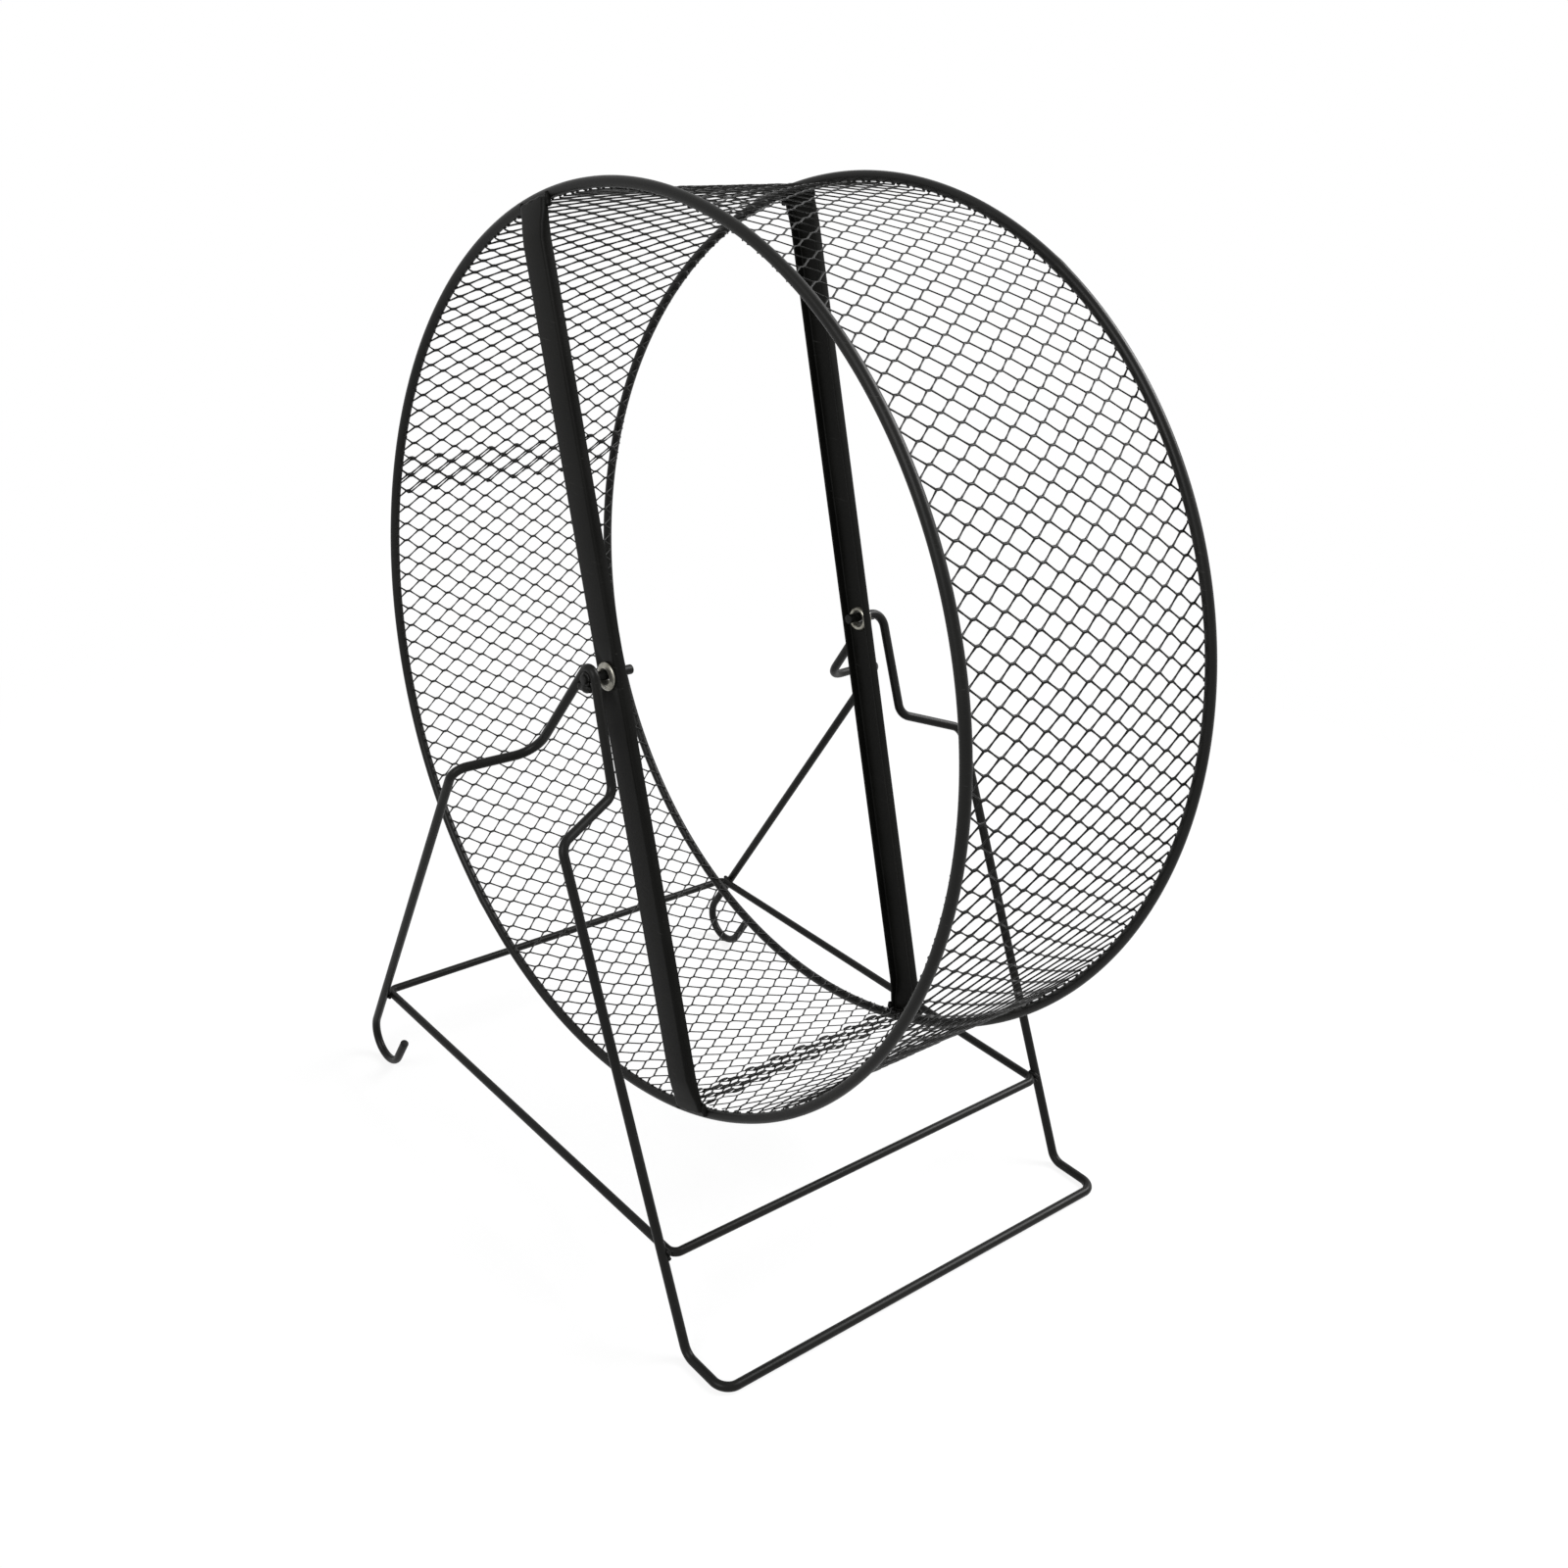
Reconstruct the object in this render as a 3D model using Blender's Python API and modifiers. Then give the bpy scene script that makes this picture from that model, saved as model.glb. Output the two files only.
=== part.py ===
"""Hamster wheel: an expanded metal drum that turns on the bent stub ends of a free-standing wire stand.

Lengths are in metres. The surface that it stands on is z = 0 and the wheel turns about the Y direction. The
foot bar of the stand is the front, at +X, and the hooked feet are the back. Left is -Y and right is +Y.
"""

import math

import bmesh
import bpy
from mathutils import Matrix, Vector

MM = 0.001
LEFT, RIGHT = -1, 1

# The whole object
WHEEL_DIAMETER = 280.0 * MM
WHEEL_CLEARANCE = 40.0 * MM  # under the wheel
SEAT_GAP = 0.3 * MM  # between pieces that are welded, riveted or hung on each other

# Rings of round wire at the two edges of the drum
RING_WIRE = 3.2 * MM
RING_SPACING = 94.0 * MM  # between the two rings' centre lines
RING_STEPS = 72
RING_SIDES = 8

# Expanded metal sheets, spot welded inside the rings
SHEET_THICKNESS = 1.0 * MM
SHEET_EDGE_INSET = 0.4 * MM  # from the rings' outer sides to the sheets' edges
STRAND_WIDTH = 1.4 * MM
ROWS_PER_TURN = 54  # diamonds round the drum
HALF_COLUMNS = 6  # half diamonds across the drum
BACK_SEAM = math.radians(167.5)  # the middle of each overlap, measured from +X towards +Z
LOWER_SEAM = math.radians(288.0)
OVERLAP_ROWS = 1  # diamonds that lie on each other at a seam
STEP_ROWS = 1  # diamonds over which a lapped end steps out again

# Crossbars, each a shallow pressed channel that opens towards the drum
BAR_SHEET = 0.8 * MM
BAR_DEPTH = 3.0 * MM
BAR_BEND = 0.9 * MM
BAR_ROOM = 0.7 * MM  # between an eyelet's rolled lip and the flanges beside it
BAR_END_INSET = 2.0 * MM  # from a ring's outer edge to its crossbar's ends
LEFT_BAR_TILT = math.radians(20.2)
RIGHT_BAR_TILT = math.radians(18.6)

# Eyelets, the bearings in the middle of the crossbars
AXLE_PLAY = 1.8 * MM  # between the bore's diameter and the stub's
EYELET_WALL = 0.5 * MM
EYELET_HEAD = 1.5 * MM  # how far the head stands out from the barrel
EYELET_LIP = 1.1 * MM  # how far the rolled lip stands out from the barrel
EYELET_HEIGHT = 1.0 * MM  # of the head, and of the lip
EYELET_ROUND = 0.3 * MM
EYELET_STEPS = 24

# Wires of the stand
LEG_WIRE = 3.0 * MM
BASE_WIRE = 2.8 * MM
WIRE_SIDES = 8
TIGHT_BEND = 5.0 * MM  # bend radii, on the centre line
SOFT_BEND = 9.0 * MM
BEND_STEP = math.radians(18.0)

# How the wheel hangs between the stubs
STUB_REACH = 5.3 * MM  # how far a stub passes the inner end of its eyelet
HUB_PLAY = 5.2 * MM  # from an eyelet's head to the upright beside it, with the wheel in the middle
WHEEL_SHIFT = 1.5 * MM  # the wheel floats along its stubs, and rests this far to the left

# Front frame: how far ahead of the hub, below it, and out to each side its bends lie
FRONT_ARM_AHEAD = 11.7 * MM
FRONT_ARM_DROP = 31.9 * MM
FRONT_SHOULDER_AHEAD = 21.1 * MM
FRONT_SHOULDER_DROP = 39.3 * MM
FRONT_SHOULDER_FLARE = 23.3 * MM
FRONT_FOOT_AHEAD = 89.9 * MM
FRONT_FOOT_DRAW_IN = 1.4 * MM
TOE_LENGTH = 17.4 * MM

# Rear legs: the same, behind the hub
REAR_ARM_BEHIND = 24.3 * MM
REAR_ARM_DROP = 31.4 * MM
REAR_ARM_FLARE = 2.3 * MM
REAR_SHOULDER_BEHIND = 28.2 * MM
REAR_SHOULDER_DROP = 33.0 * MM
REAR_SHOULDER_FLARE = 28.1 * MM
REAR_FOOT_BEHIND = 92.5 * MM
REAR_FOOT_DRAW_IN = 9.0 * MM
HOOK_RADIUS = 9.0 * MM
HOOK_RISE = math.radians(60.0)
HOOK_TIP = 10.0 * MM

# Base loop
BASE_HEIGHT = 29.2 * MM
BASE_OVERHANG = 1.5 * MM  # how far its corners pass the legs
BASE_BEND = 3.0 * MM

CUT_OVERRUN = 5.0 * MM

BLACK_PAINT = (0.012, 0.012, 0.012, 1.0)
PALE_PLATE = (0.62, 0.60, 0.55, 1.0)

# Wheel sizes that follow from those above, measured from the wheel's middle
hub_height = WHEEL_DIAMETER / 2 + WHEEL_CLEARANCE
ring_radius = (WHEEL_DIAMETER - RING_WIRE) / 2
ring_side = (RING_SPACING + RING_WIRE) / 2
row_angle = 2 * math.pi / ROWS_PER_TURN
outer_layer = (ring_radius - RING_WIRE / 2) * math.cos(math.pi / RING_STEPS) - SEAT_GAP
inner_layer = (outer_layer - SHEET_THICKNESS) * math.cos(row_angle / 2) - SEAT_GAP
bar_seat = ring_side + SEAT_GAP
bar_face = bar_seat + BAR_DEPTH
bar_reach = WHEEL_DIAMETER / 2 - BAR_END_INSET

# Eyelet sizes, as radii and as places outward from the wheel's middle
bore = (LEG_WIRE + AXLE_PLAY) / 2
barrel = bore + EYELET_WALL
head_edge = barrel + EYELET_HEAD
lip_edge = barrel + EYELET_LIP
head_seat = bar_face + SEAT_GAP
head_end = head_seat + EYELET_HEIGHT
lip_seat = bar_face - BAR_SHEET - SEAT_GAP
lip_end = lip_seat - EYELET_HEIGHT
bar_width = 2 * (lip_edge + BAR_ROOM + BAR_SHEET)

# Stand sizes
wire_flat = math.cos(math.pi / WIRE_SIDES)  # a wire's flats lie this share of its radius from its centre line
foot_height = LEG_WIRE / 2 * wire_flat
stub_end = lip_end - STUB_REACH
stub_height = hub_height + AXLE_PLAY / 2 - SEAT_GAP  # the wheel hangs on its stubs
arm_side = head_end + HUB_PLAY + LEG_WIRE / 2

# Points of the stand's wires, given for the right-hand side
stub_tip = Vector((0, stub_end, stub_height))
stub_corner = Vector((0, arm_side, stub_height))
front_arm = Vector((FRONT_ARM_AHEAD, arm_side, hub_height - FRONT_ARM_DROP))
front_shoulder = Vector(
    (FRONT_SHOULDER_AHEAD, arm_side + FRONT_SHOULDER_FLARE, hub_height - FRONT_SHOULDER_DROP)
)
front_foot = Vector((FRONT_FOOT_AHEAD, front_shoulder.y - FRONT_FOOT_DRAW_IN, foot_height))
toe = front_foot + Vector((TOE_LENGTH, 0, 0))
rear_arm = Vector((-REAR_ARM_BEHIND, arm_side + REAR_ARM_FLARE, hub_height - REAR_ARM_DROP))
rear_shoulder = Vector((-REAR_SHOULDER_BEHIND, rear_arm.y + REAR_SHOULDER_FLARE, hub_height - REAR_SHOULDER_DROP))
hook_centre = Vector((-REAR_FOOT_BEHIND, rear_shoulder.y - REAR_FOOT_DRAW_IN, foot_height + HOOK_RADIUS))


def clear_scene():
    """Removes every object, so that the script can be run again."""
    for item in list(bpy.data.objects):
        bpy.data.objects.remove(item, do_unlink=True)


def new_collection(name):
    """Makes a collection in the scene."""
    collection = bpy.data.collections.new(name)
    bpy.context.scene.collection.children.link(collection)
    return collection


def finish(item, colour=BLACK_PAINT, roughness=0.35, metallic=0.0):
    """Gives a piece its own material."""
    material = bpy.data.materials.new(item.name)
    material.use_nodes = True
    shader = material.node_tree.nodes["Principled BSDF"]
    shader.inputs["Base Color"].default_value = colour
    shader.inputs["Roughness"].default_value = roughness
    shader.inputs["Metallic"].default_value = metallic
    item.data.materials.append(material)


def new_piece(name, data, collection):
    """Links a new object."""
    item = bpy.data.objects.new(name, data)
    collection.objects.link(item)
    return item


def take_primitive(name, collection):
    """Names the primitive that was just added and moves it to a collection."""
    item = bpy.context.object
    item.name = name
    for holder in list(item.users_collection):
        holder.objects.unlink(item)
    collection.objects.link(item)
    return item


def on_side(point, side):
    """The same place on the left or the right of the stand."""
    return Vector((point.x, side * point.y, point.z))


# Bent wires


def bend(before, corner, after, radius):
    """Points round the bend that a wire makes at a corner."""
    incoming = (corner - before).normalized()
    outgoing = (after - corner).normalized()
    turn = incoming.angle(outgoing)
    room = min((corner - before).length, (after - corner).length) / 2
    reach = min(radius * math.tan(turn / 2), room)
    centre = corner + (outgoing - incoming).normalized() * (reach / math.sin(turn / 2))
    start = corner - incoming * reach - centre
    axis = incoming.cross(outgoing)
    steps = math.ceil(turn / BEND_STEP)
    return [centre + Matrix.Rotation(turn * n / steps, 3, axis) @ start for n in range(steps + 1)]


def open_route(corners):
    """The route of a wire through (corner, bend radius) pairs, from the first corner to the last."""
    spots = [spot for spot, radius in corners]
    route = [spots[0]]
    for n in range(1, len(corners) - 1):
        route += bend(spots[n - 1], spots[n], spots[n + 1], corners[n][1])
    return route + [spots[-1]]


def closed_route(corners, radius):
    """The route of a closed loop of wire round its corners."""
    route = []
    for n, corner in enumerate(corners):
        route += bend(corners[n - 1], corner, corners[(n + 1) % len(corners)], radius)
    return route


def wire(name, route, diameter, collection, closed=False):
    """One length of round wire, turned so that a flat of its section faces straight down."""
    curve = bpy.data.curves.new(name, "CURVE")
    curve.dimensions = "3D"
    curve.twist_mode = "Z_UP"
    curve.bevel_depth = diameter / 2
    curve.bevel_resolution = WIRE_SIDES // 2 - 2
    curve.use_fill_caps = not closed
    spline = curve.splines.new("POLY")
    spline.points.add(len(route) - 1)
    for point, spot in zip(spline.points, route):
        point.co = (*spot, 1)
        point.tilt = math.pi / WIRE_SIDES
    spline.use_cyclic_u = closed
    spline.use_smooth = True
    item = new_piece(name, curve, collection)
    finish(item)
    return item


# Stand


def front_frame(collection):
    """One wire: stub axle, upright, shoulder, leg, toe and half the foot bar, then the same on the left."""
    half = [
        (stub_tip, 0),
        (stub_corner, TIGHT_BEND),
        (front_arm, TIGHT_BEND),
        (front_shoulder, TIGHT_BEND),
        (front_foot, TIGHT_BEND),
        (toe, TIGHT_BEND),
    ]
    other = [(on_side(spot, LEFT), radius) for spot, radius in reversed(half)]
    wire("front_frame", open_route(half + other), LEG_WIRE, collection)


def rear_leg_top():
    """The end of a rear leg, cut off square where it is welded to the front frame's upright."""
    along = (rear_arm - stub_corner).normalized()
    angle = along.angle(front_arm - stub_corner)
    clear = LEG_WIRE / 2 + SEAT_GAP + LEG_WIRE / 2 * math.cos(angle)
    return stub_corner + along * (clear / math.sin(angle))


def hook_spot(angle):
    """A point on the round of a hooked foot, with the angle measured from +X towards +Z."""
    return hook_centre + HOOK_RADIUS * Vector((math.cos(angle), 0, math.sin(angle)))


def hook_start():
    """The angle on the hook's round at which the straight leg runs into it."""
    line = hook_centre - rear_shoulder
    slope = math.atan2(line.z, line.x)
    lean = math.asin(HOOK_RADIUS / math.hypot(line.x, line.z))
    return slope - lean - math.pi / 2


def round_foot():
    """Points round a hooked foot, one of them at its lowest place, and the end of its straight tip."""
    lowest = -math.pi / 2
    last = lowest + HOOK_RISE
    first = math.remainder(hook_start() - lowest, 2 * math.pi) + lowest
    spots = []
    for start, end in ((first, lowest), (lowest, last)):
        steps = math.ceil((end - start) / BEND_STEP)
        spots += [hook_spot(start + (end - start) * n / steps) for n in range(steps)]
    tip = HOOK_TIP * Vector((math.cos(HOOK_RISE), 0, math.sin(HOOK_RISE)))
    return spots + [hook_spot(last), hook_spot(last) + tip]


def rear_leg(name, side, collection):
    """A bent wire from the hub out over the shoulder and down to a hooked foot."""
    foot = round_foot()
    corners = [
        (rear_leg_top(), 0),
        (rear_arm, SOFT_BEND),
        (rear_shoulder, TIGHT_BEND),
        (foot[0], 0),
    ]
    route = open_route(corners) + foot[1:]
    wire(name, [on_side(spot, side) for spot in route], LEG_WIRE, collection)


def at_base(shoulder, foot):
    """Where a straight leg passes the height of the base loop."""
    return shoulder.lerp(foot, (shoulder.z - BASE_HEIGHT) / (shoulder.z - foot.z))


def base_loop(collection):
    """A closed loop of wire, welded to the inner sides of the four legs."""
    inset = Vector((0, (LEG_WIRE + BASE_WIRE) / 2 + SEAT_GAP, 0))
    past = Vector((BASE_OVERHANG, 0, 0))
    front = at_base(front_shoulder, front_foot) - inset + past
    back = at_base(rear_shoulder, hook_spot(hook_start())) - inset - past
    corners = [front, back, on_side(back, LEFT), on_side(front, LEFT)]
    wire("base_loop", closed_route(corners, BASE_BEND), BASE_WIRE, collection, closed=True)


# Wheel


def ring(name, side, collection, axis):
    """A ring of round wire at one edge of the drum."""
    bpy.ops.mesh.primitive_torus_add(
        major_segments=RING_STEPS,
        minor_segments=RING_SIDES,
        major_radius=ring_radius,
        minor_radius=RING_WIRE / 2,
    )
    item = take_primitive(name, collection)
    item.data.shade_smooth()
    item.parent = axis
    item.location = (0, side * RING_SPACING / 2, 0)
    item.rotation_euler = (math.pi / 2, 0, 0)
    finish(item)


def ease(share):
    """Rises from 0 to 1, level at both ends."""
    share = min(max(share, 0), 1)
    return share * share * (3 - 2 * share)


def lattice(rows, start, radius_at):
    """The open surface of a sheet of expanded metal: strands between staggered four-cornered knots."""
    across = RING_SPACING / HALF_COLUMNS
    strand_angle = math.atan2(outer_layer * row_angle / 2, across)
    knot_side = STRAND_WIDTH / 2 / math.sin(strand_angle)
    knot_turn = STRAND_WIDTH / 2 / math.cos(strand_angle) / outer_layer
    edge = ring_side - SHEET_EDGE_INSET - knot_side
    corners = ((knot_side, 0), (0, knot_turn), (-knot_side, 0), (0, -knot_turn))
    sheet = bmesh.new()
    knots = {}
    for i in range(2 * rows + 1):
        for j in range(i % 2, HALF_COLUMNS + 1, 2):
            middle = start + i * row_angle / 2
            side = edge * (2 * j / HALF_COLUMNS - 1)
            radius = radius_at(middle)
            knots[i, j] = [
                sheet.verts.new((radius * math.cos(middle + turn), side + out, radius * math.sin(middle + turn)))
                for out, turn in corners
            ]
            sheet.faces.new(knots[i, j])
    for (i, j), (right, above, left, below) in knots.items():
        if (i + 1, j + 1) in knots:
            next_right, next_above, next_left, next_below = knots[i + 1, j + 1]
            sheet.faces.new((above, right, next_below, next_left))
        if (i + 1, j - 1) in knots:
            next_right, next_above, next_left, next_below = knots[i + 1, j - 1]
            sheet.faces.new((left, above, next_right, next_below))
    return sheet


def mesh_sheet(name, first_seam, last_seam, lapped, collection, axis):
    """A curved sheet of expanded metal, which passes each seam by half the overlap."""
    overlap = OVERLAP_ROWS * row_angle
    rows = round((last_seam - first_seam + overlap) / row_angle)
    start = (first_seam + last_seam - rows * row_angle) / 2
    end = start + rows * row_angle
    knot = STRAND_WIDTH / outer_layer

    def radius_at(angle):
        """A lapped sheet lies under the other at its ends, then steps out to the rings."""
        if not lapped:
            return outer_layer
        past_lap = min(angle - start, end - angle) - overlap - knot
        return inner_layer + (outer_layer - inner_layer) * ease(past_lap / (STEP_ROWS * row_angle))

    sheet = lattice(rows, start, radius_at)
    mesh = bpy.data.meshes.new(name)
    sheet.to_mesh(mesh)
    sheet.free()
    item = new_piece(name, mesh, collection)
    item.parent = axis
    solid = item.modifiers.new("sheet thickness", "SOLIDIFY")
    solid.thickness = SHEET_THICKNESS
    finish(item)


def cutter(name, radius, steps, cutters, axis):
    """A cylinder about the wheel's axis that passes through both crossbars."""
    bpy.ops.mesh.primitive_cylinder_add(vertices=steps, radius=radius, depth=2 * (bar_face + CUT_OVERRUN))
    item = take_primitive(name, cutters)
    item.parent = axis
    item.rotation_euler = (math.pi / 2, 0, 0)
    item.hide_render = True
    item.display_type = "WIRE"
    return item


def crossbar(name, side, tilt, rim, hole, collection, axis):
    """A pressed channel across a ring, its ends cut to the ring's round, with a hole for its eyelet."""
    half = bar_width / 2
    length = bar_reach + CUT_OVERRUN
    section = ((-half, bar_seat), (-half, bar_face), (half, bar_face), (half, bar_seat))
    strip = bmesh.new()
    low = [strip.verts.new((x, -length, z)) for x, z in section]
    high = [strip.verts.new((x, length, z)) for x, z in section]
    for n in range(len(section) - 1):
        strip.faces.new((low[n], low[n + 1], high[n + 1], high[n]))
    mesh = bpy.data.meshes.new(name)
    strip.to_mesh(mesh)
    strip.free()
    item = new_piece(name, mesh, collection)
    item.parent = axis
    item.rotation_euler = (-side * math.pi / 2, -tilt, 0)
    fold = item.modifiers.new("pressed bends", "BEVEL")
    fold.width = BAR_BEND
    fold.segments = 2
    solid = item.modifiers.new("sheet thickness", "SOLIDIFY")
    solid.thickness = BAR_SHEET
    solid.use_even_offset = True
    for title, operation, tool in (("round ends", "INTERSECT", rim), ("eyelet hole", "DIFFERENCE", hole)):
        cut = item.modifiers.new(title, "BOOLEAN")
        cut.operation = operation
        cut.object = tool
    finish(item)


def eyelet(name, side, collection, axis):
    """A hollow rivet: a domed head outside the crossbar, a barrel through it and a rolled lip inside."""
    profile = (
        (bore, head_end - EYELET_ROUND),
        (bore + EYELET_ROUND, head_end),
        ((barrel + head_edge) / 2, head_end),
        (head_edge, head_seat + EYELET_ROUND),
        (head_edge, head_seat),
        (barrel, head_seat),
        (barrel, lip_seat),
        (lip_edge, lip_seat),
        (lip_edge, lip_seat - EYELET_ROUND),
        ((barrel + lip_edge) / 2, lip_end),
        (bore + EYELET_ROUND, lip_end),
        (bore, lip_end + EYELET_ROUND),
    )
    outline = bmesh.new()
    corners = [outline.verts.new((radius, 0, height)) for radius, height in profile]
    for n, corner in enumerate(corners):
        outline.edges.new((corners[n - 1], corner))
    mesh = bpy.data.meshes.new(name)
    outline.to_mesh(mesh)
    outline.free()
    item = new_piece(name, mesh, collection)
    item.parent = axis
    item.rotation_euler = (-side * math.pi / 2, 0, 0)
    turned = item.modifiers.new("turned", "SCREW")
    turned.steps = EYELET_STEPS
    turned.render_steps = EYELET_STEPS
    turned.merge_threshold = SEAT_GAP / 10
    turned.use_merge_vertices = True
    turned.use_smooth_shade = True
    finish(item, PALE_PLATE, 0.3, 1.0)


def build():
    """Makes the stand, then the wheel round an empty on its axis."""
    clear_scene()
    collection = new_collection("hamster_wheel")
    cutters = new_collection("cutters")

    front_frame(collection)
    rear_leg("left_rear_leg", LEFT, collection)
    rear_leg("right_rear_leg", RIGHT, collection)
    base_loop(collection)

    axis = new_piece("wheel_axis", None, collection)
    axis.location = (0, -WHEEL_SHIFT, hub_height)
    ring("left_ring", LEFT, collection, axis)
    ring("right_ring", RIGHT, collection, axis)
    mesh_sheet("short_mesh_sheet", BACK_SEAM, LOWER_SEAM, False, collection, axis)
    mesh_sheet("long_mesh_sheet", LOWER_SEAM, BACK_SEAM + 2 * math.pi, True, collection, axis)
    rim = cutter("rim_cutter", bar_reach, RING_STEPS, cutters, axis)
    hole = cutter("hole_cutter", barrel + SEAT_GAP, EYELET_STEPS, cutters, axis)
    crossbar("left_crossbar", LEFT, LEFT_BAR_TILT, rim, hole, collection, axis)
    crossbar("right_crossbar", RIGHT, RIGHT_BAR_TILT, rim, hole, collection, axis)
    eyelet("left_eyelet", LEFT, collection, axis)
    eyelet("right_eyelet", RIGHT, collection, axis)


build()
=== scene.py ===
"""A hamster wheel: a drum of black expanded metal that turns on the ends of a bent wire stand.

Lengths are in metres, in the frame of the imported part. Left is -Y, right is +Y and the foot bar is the front.
"""

import math
import random

import bmesh
import bpy
from mathutils import Matrix, Vector


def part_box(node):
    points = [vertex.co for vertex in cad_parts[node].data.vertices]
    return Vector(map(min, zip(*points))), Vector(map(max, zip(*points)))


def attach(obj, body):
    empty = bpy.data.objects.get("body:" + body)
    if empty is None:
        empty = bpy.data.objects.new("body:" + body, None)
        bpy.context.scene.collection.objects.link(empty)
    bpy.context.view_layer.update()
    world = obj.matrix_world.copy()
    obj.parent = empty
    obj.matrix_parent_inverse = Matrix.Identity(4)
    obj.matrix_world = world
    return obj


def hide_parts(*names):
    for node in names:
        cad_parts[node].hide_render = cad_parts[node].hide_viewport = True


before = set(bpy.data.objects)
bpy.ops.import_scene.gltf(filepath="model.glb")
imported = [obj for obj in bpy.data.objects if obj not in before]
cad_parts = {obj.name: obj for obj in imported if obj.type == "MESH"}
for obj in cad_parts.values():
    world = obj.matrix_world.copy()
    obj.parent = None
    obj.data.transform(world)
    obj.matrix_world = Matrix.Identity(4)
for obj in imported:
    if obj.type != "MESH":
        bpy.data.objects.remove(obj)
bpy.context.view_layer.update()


# Front frame
# One long 3 mm steel wire. It starts as the right stub axle, turns down the upright, goes out over the
# shoulder, down the front leg and across as the foot bar, and comes back up on the left, where it is bent
# round a straight pin, the left stub. The whole stand is powder coated in satin black.

MM = 0.001
LEFT, RIGHT = -1, 1
LEG_WIRE = 3.0 * MM
TIGHT_BEND = 5.0 * MM  # the bend radius, on the wire's centre line
BEND_STEP = math.radians(6.0)
WIRE_SIDES = 20
CUT_EDGE_SHARE = 0.25  # how much of a cut end's radius the paint rounds off
CUT_STEPS = 4
SQUARE_EDGE_SHARE = 0.02  # the same for the long wires, whose ends are nearly square
STUB_REACH = 5.3 * MM  # how far a stub passes the inner end of its eyelet
STUB_TAIL = 2.6 * MM  # how far the left one passes the middle of the wire that is bent round it
HUB_PLAY = 5.2 * MM  # from an eyelet's head to the upright beside it
WHEEL_HANG = 0.6 * MM  # from the stubs' centre line down to the wheel's
FRONT_ARM_AHEAD = 13.8 * MM
FRONT_ARM_DROP = 31.9 * MM
FRONT_SHOULDER_AHEAD = 21.1 * MM
FRONT_SHOULDER_DROP = 39.3 * MM
FRONT_SHOULDER_FLARE = 23.3 * MM
FRONT_FOOT_AHEAD = 89.9 * MM
FRONT_FOOT_DRAW_IN = 1.4 * MM
TOE_LENGTH = 17.4 * MM

left_ring_low, left_ring_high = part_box("left_ring")
left_eyelet_low, left_eyelet_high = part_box("left_eyelet")
right_eyelet_low, right_eyelet_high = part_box("right_eyelet")
hub_height = (left_ring_low.z + left_ring_high.z) / 2
hub_outside = (right_eyelet_high.y - left_eyelet_low.y) / 2  # half the way between the eyelets' outer ends
hub_inside = (right_eyelet_low.y - left_eyelet_high.y) / 2
arm_side = hub_outside + HUB_PLAY + LEG_WIRE / 2
foot_height = LEG_WIRE / 2

stub_tip = Vector((0, hub_inside - STUB_REACH, hub_height + WHEEL_HANG))
crown = Vector((0, arm_side, hub_height + WHEEL_HANG))  # where a stub meets the wire of its upright
crown_radius = LEG_WIRE  # of the bend round a stub: half of the wire and half of the stub
front_arm = Vector((FRONT_ARM_AHEAD, arm_side, hub_height - FRONT_ARM_DROP))
front_shoulder = Vector(
    (FRONT_SHOULDER_AHEAD, arm_side + FRONT_SHOULDER_FLARE, hub_height - FRONT_SHOULDER_DROP)
)
front_foot = Vector((FRONT_FOOT_AHEAD, front_shoulder.y - FRONT_FOOT_DRAW_IN, foot_height))
toe = front_foot + Vector((TOE_LENGTH, 0, 0))


def on_side(spot, side):
    """The same place on the left or the right of the stand."""
    return Vector((spot.x, side * spot.y, spot.z))


def bend(before, corner, after, radius):
    """Points round the bend that a wire makes at a corner."""
    incoming = (corner - before).normalized()
    outgoing = (after - corner).normalized()
    turn = incoming.angle(outgoing)
    room = min((corner - before).length, (after - corner).length) / 2
    reach = min(radius * math.tan(turn / 2), room)
    centre = corner + (outgoing - incoming).normalized() * (reach / math.sin(turn / 2))
    start = corner - incoming * reach - centre
    axis = incoming.cross(outgoing)
    steps = math.ceil(turn / BEND_STEP)
    return [centre + Matrix.Rotation(turn * n / steps, 3, axis) @ start for n in range(steps + 1)]


def crown_leave(spot, turn):
    """The angle round the stub, from +X towards +Z, at which the wire leaves it straight for a place.

    turn is 1 for a leg in front of the stub, and -1 for one behind it.
    """
    way = spot - crown
    return math.atan2(way.z, way.x) + turn * math.acos(crown_radius / math.hypot(way.x, way.z))


def round_stub(last):
    """Points of the bend round a stub, from its top to an angle."""
    first = math.pi / 2
    steps = math.ceil(abs(last - first) / BEND_STEP)
    turns = [first + (last - first) * n / steps for n in range(steps + 1)]
    return [crown + crown_radius * Vector((math.cos(a), 0, math.sin(a))) for a in turns]


def open_route(corners):
    """The route of a wire through (corner, bend radius) pairs, from the first corner to the last."""
    spots = [spot for spot, radius in corners]
    route = [spots[0]]
    for n in range(1, len(corners) - 1):
        route += bend(spots[n - 1], spots[n], spots[n + 1], corners[n][1])
    return route + [spots[-1]]


def new_piece(name, shell, finish):
    """Turns a bmesh into a smooth-shaded object with one finish."""
    mesh = bpy.data.meshes.new(name)
    shell.to_mesh(mesh)
    shell.free()
    mesh.shade_smooth()
    mesh.materials.append(finish.material)
    piece = bpy.data.objects.new(name, mesh)
    bpy.context.scene.collection.objects.link(piece)
    return piece


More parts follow.
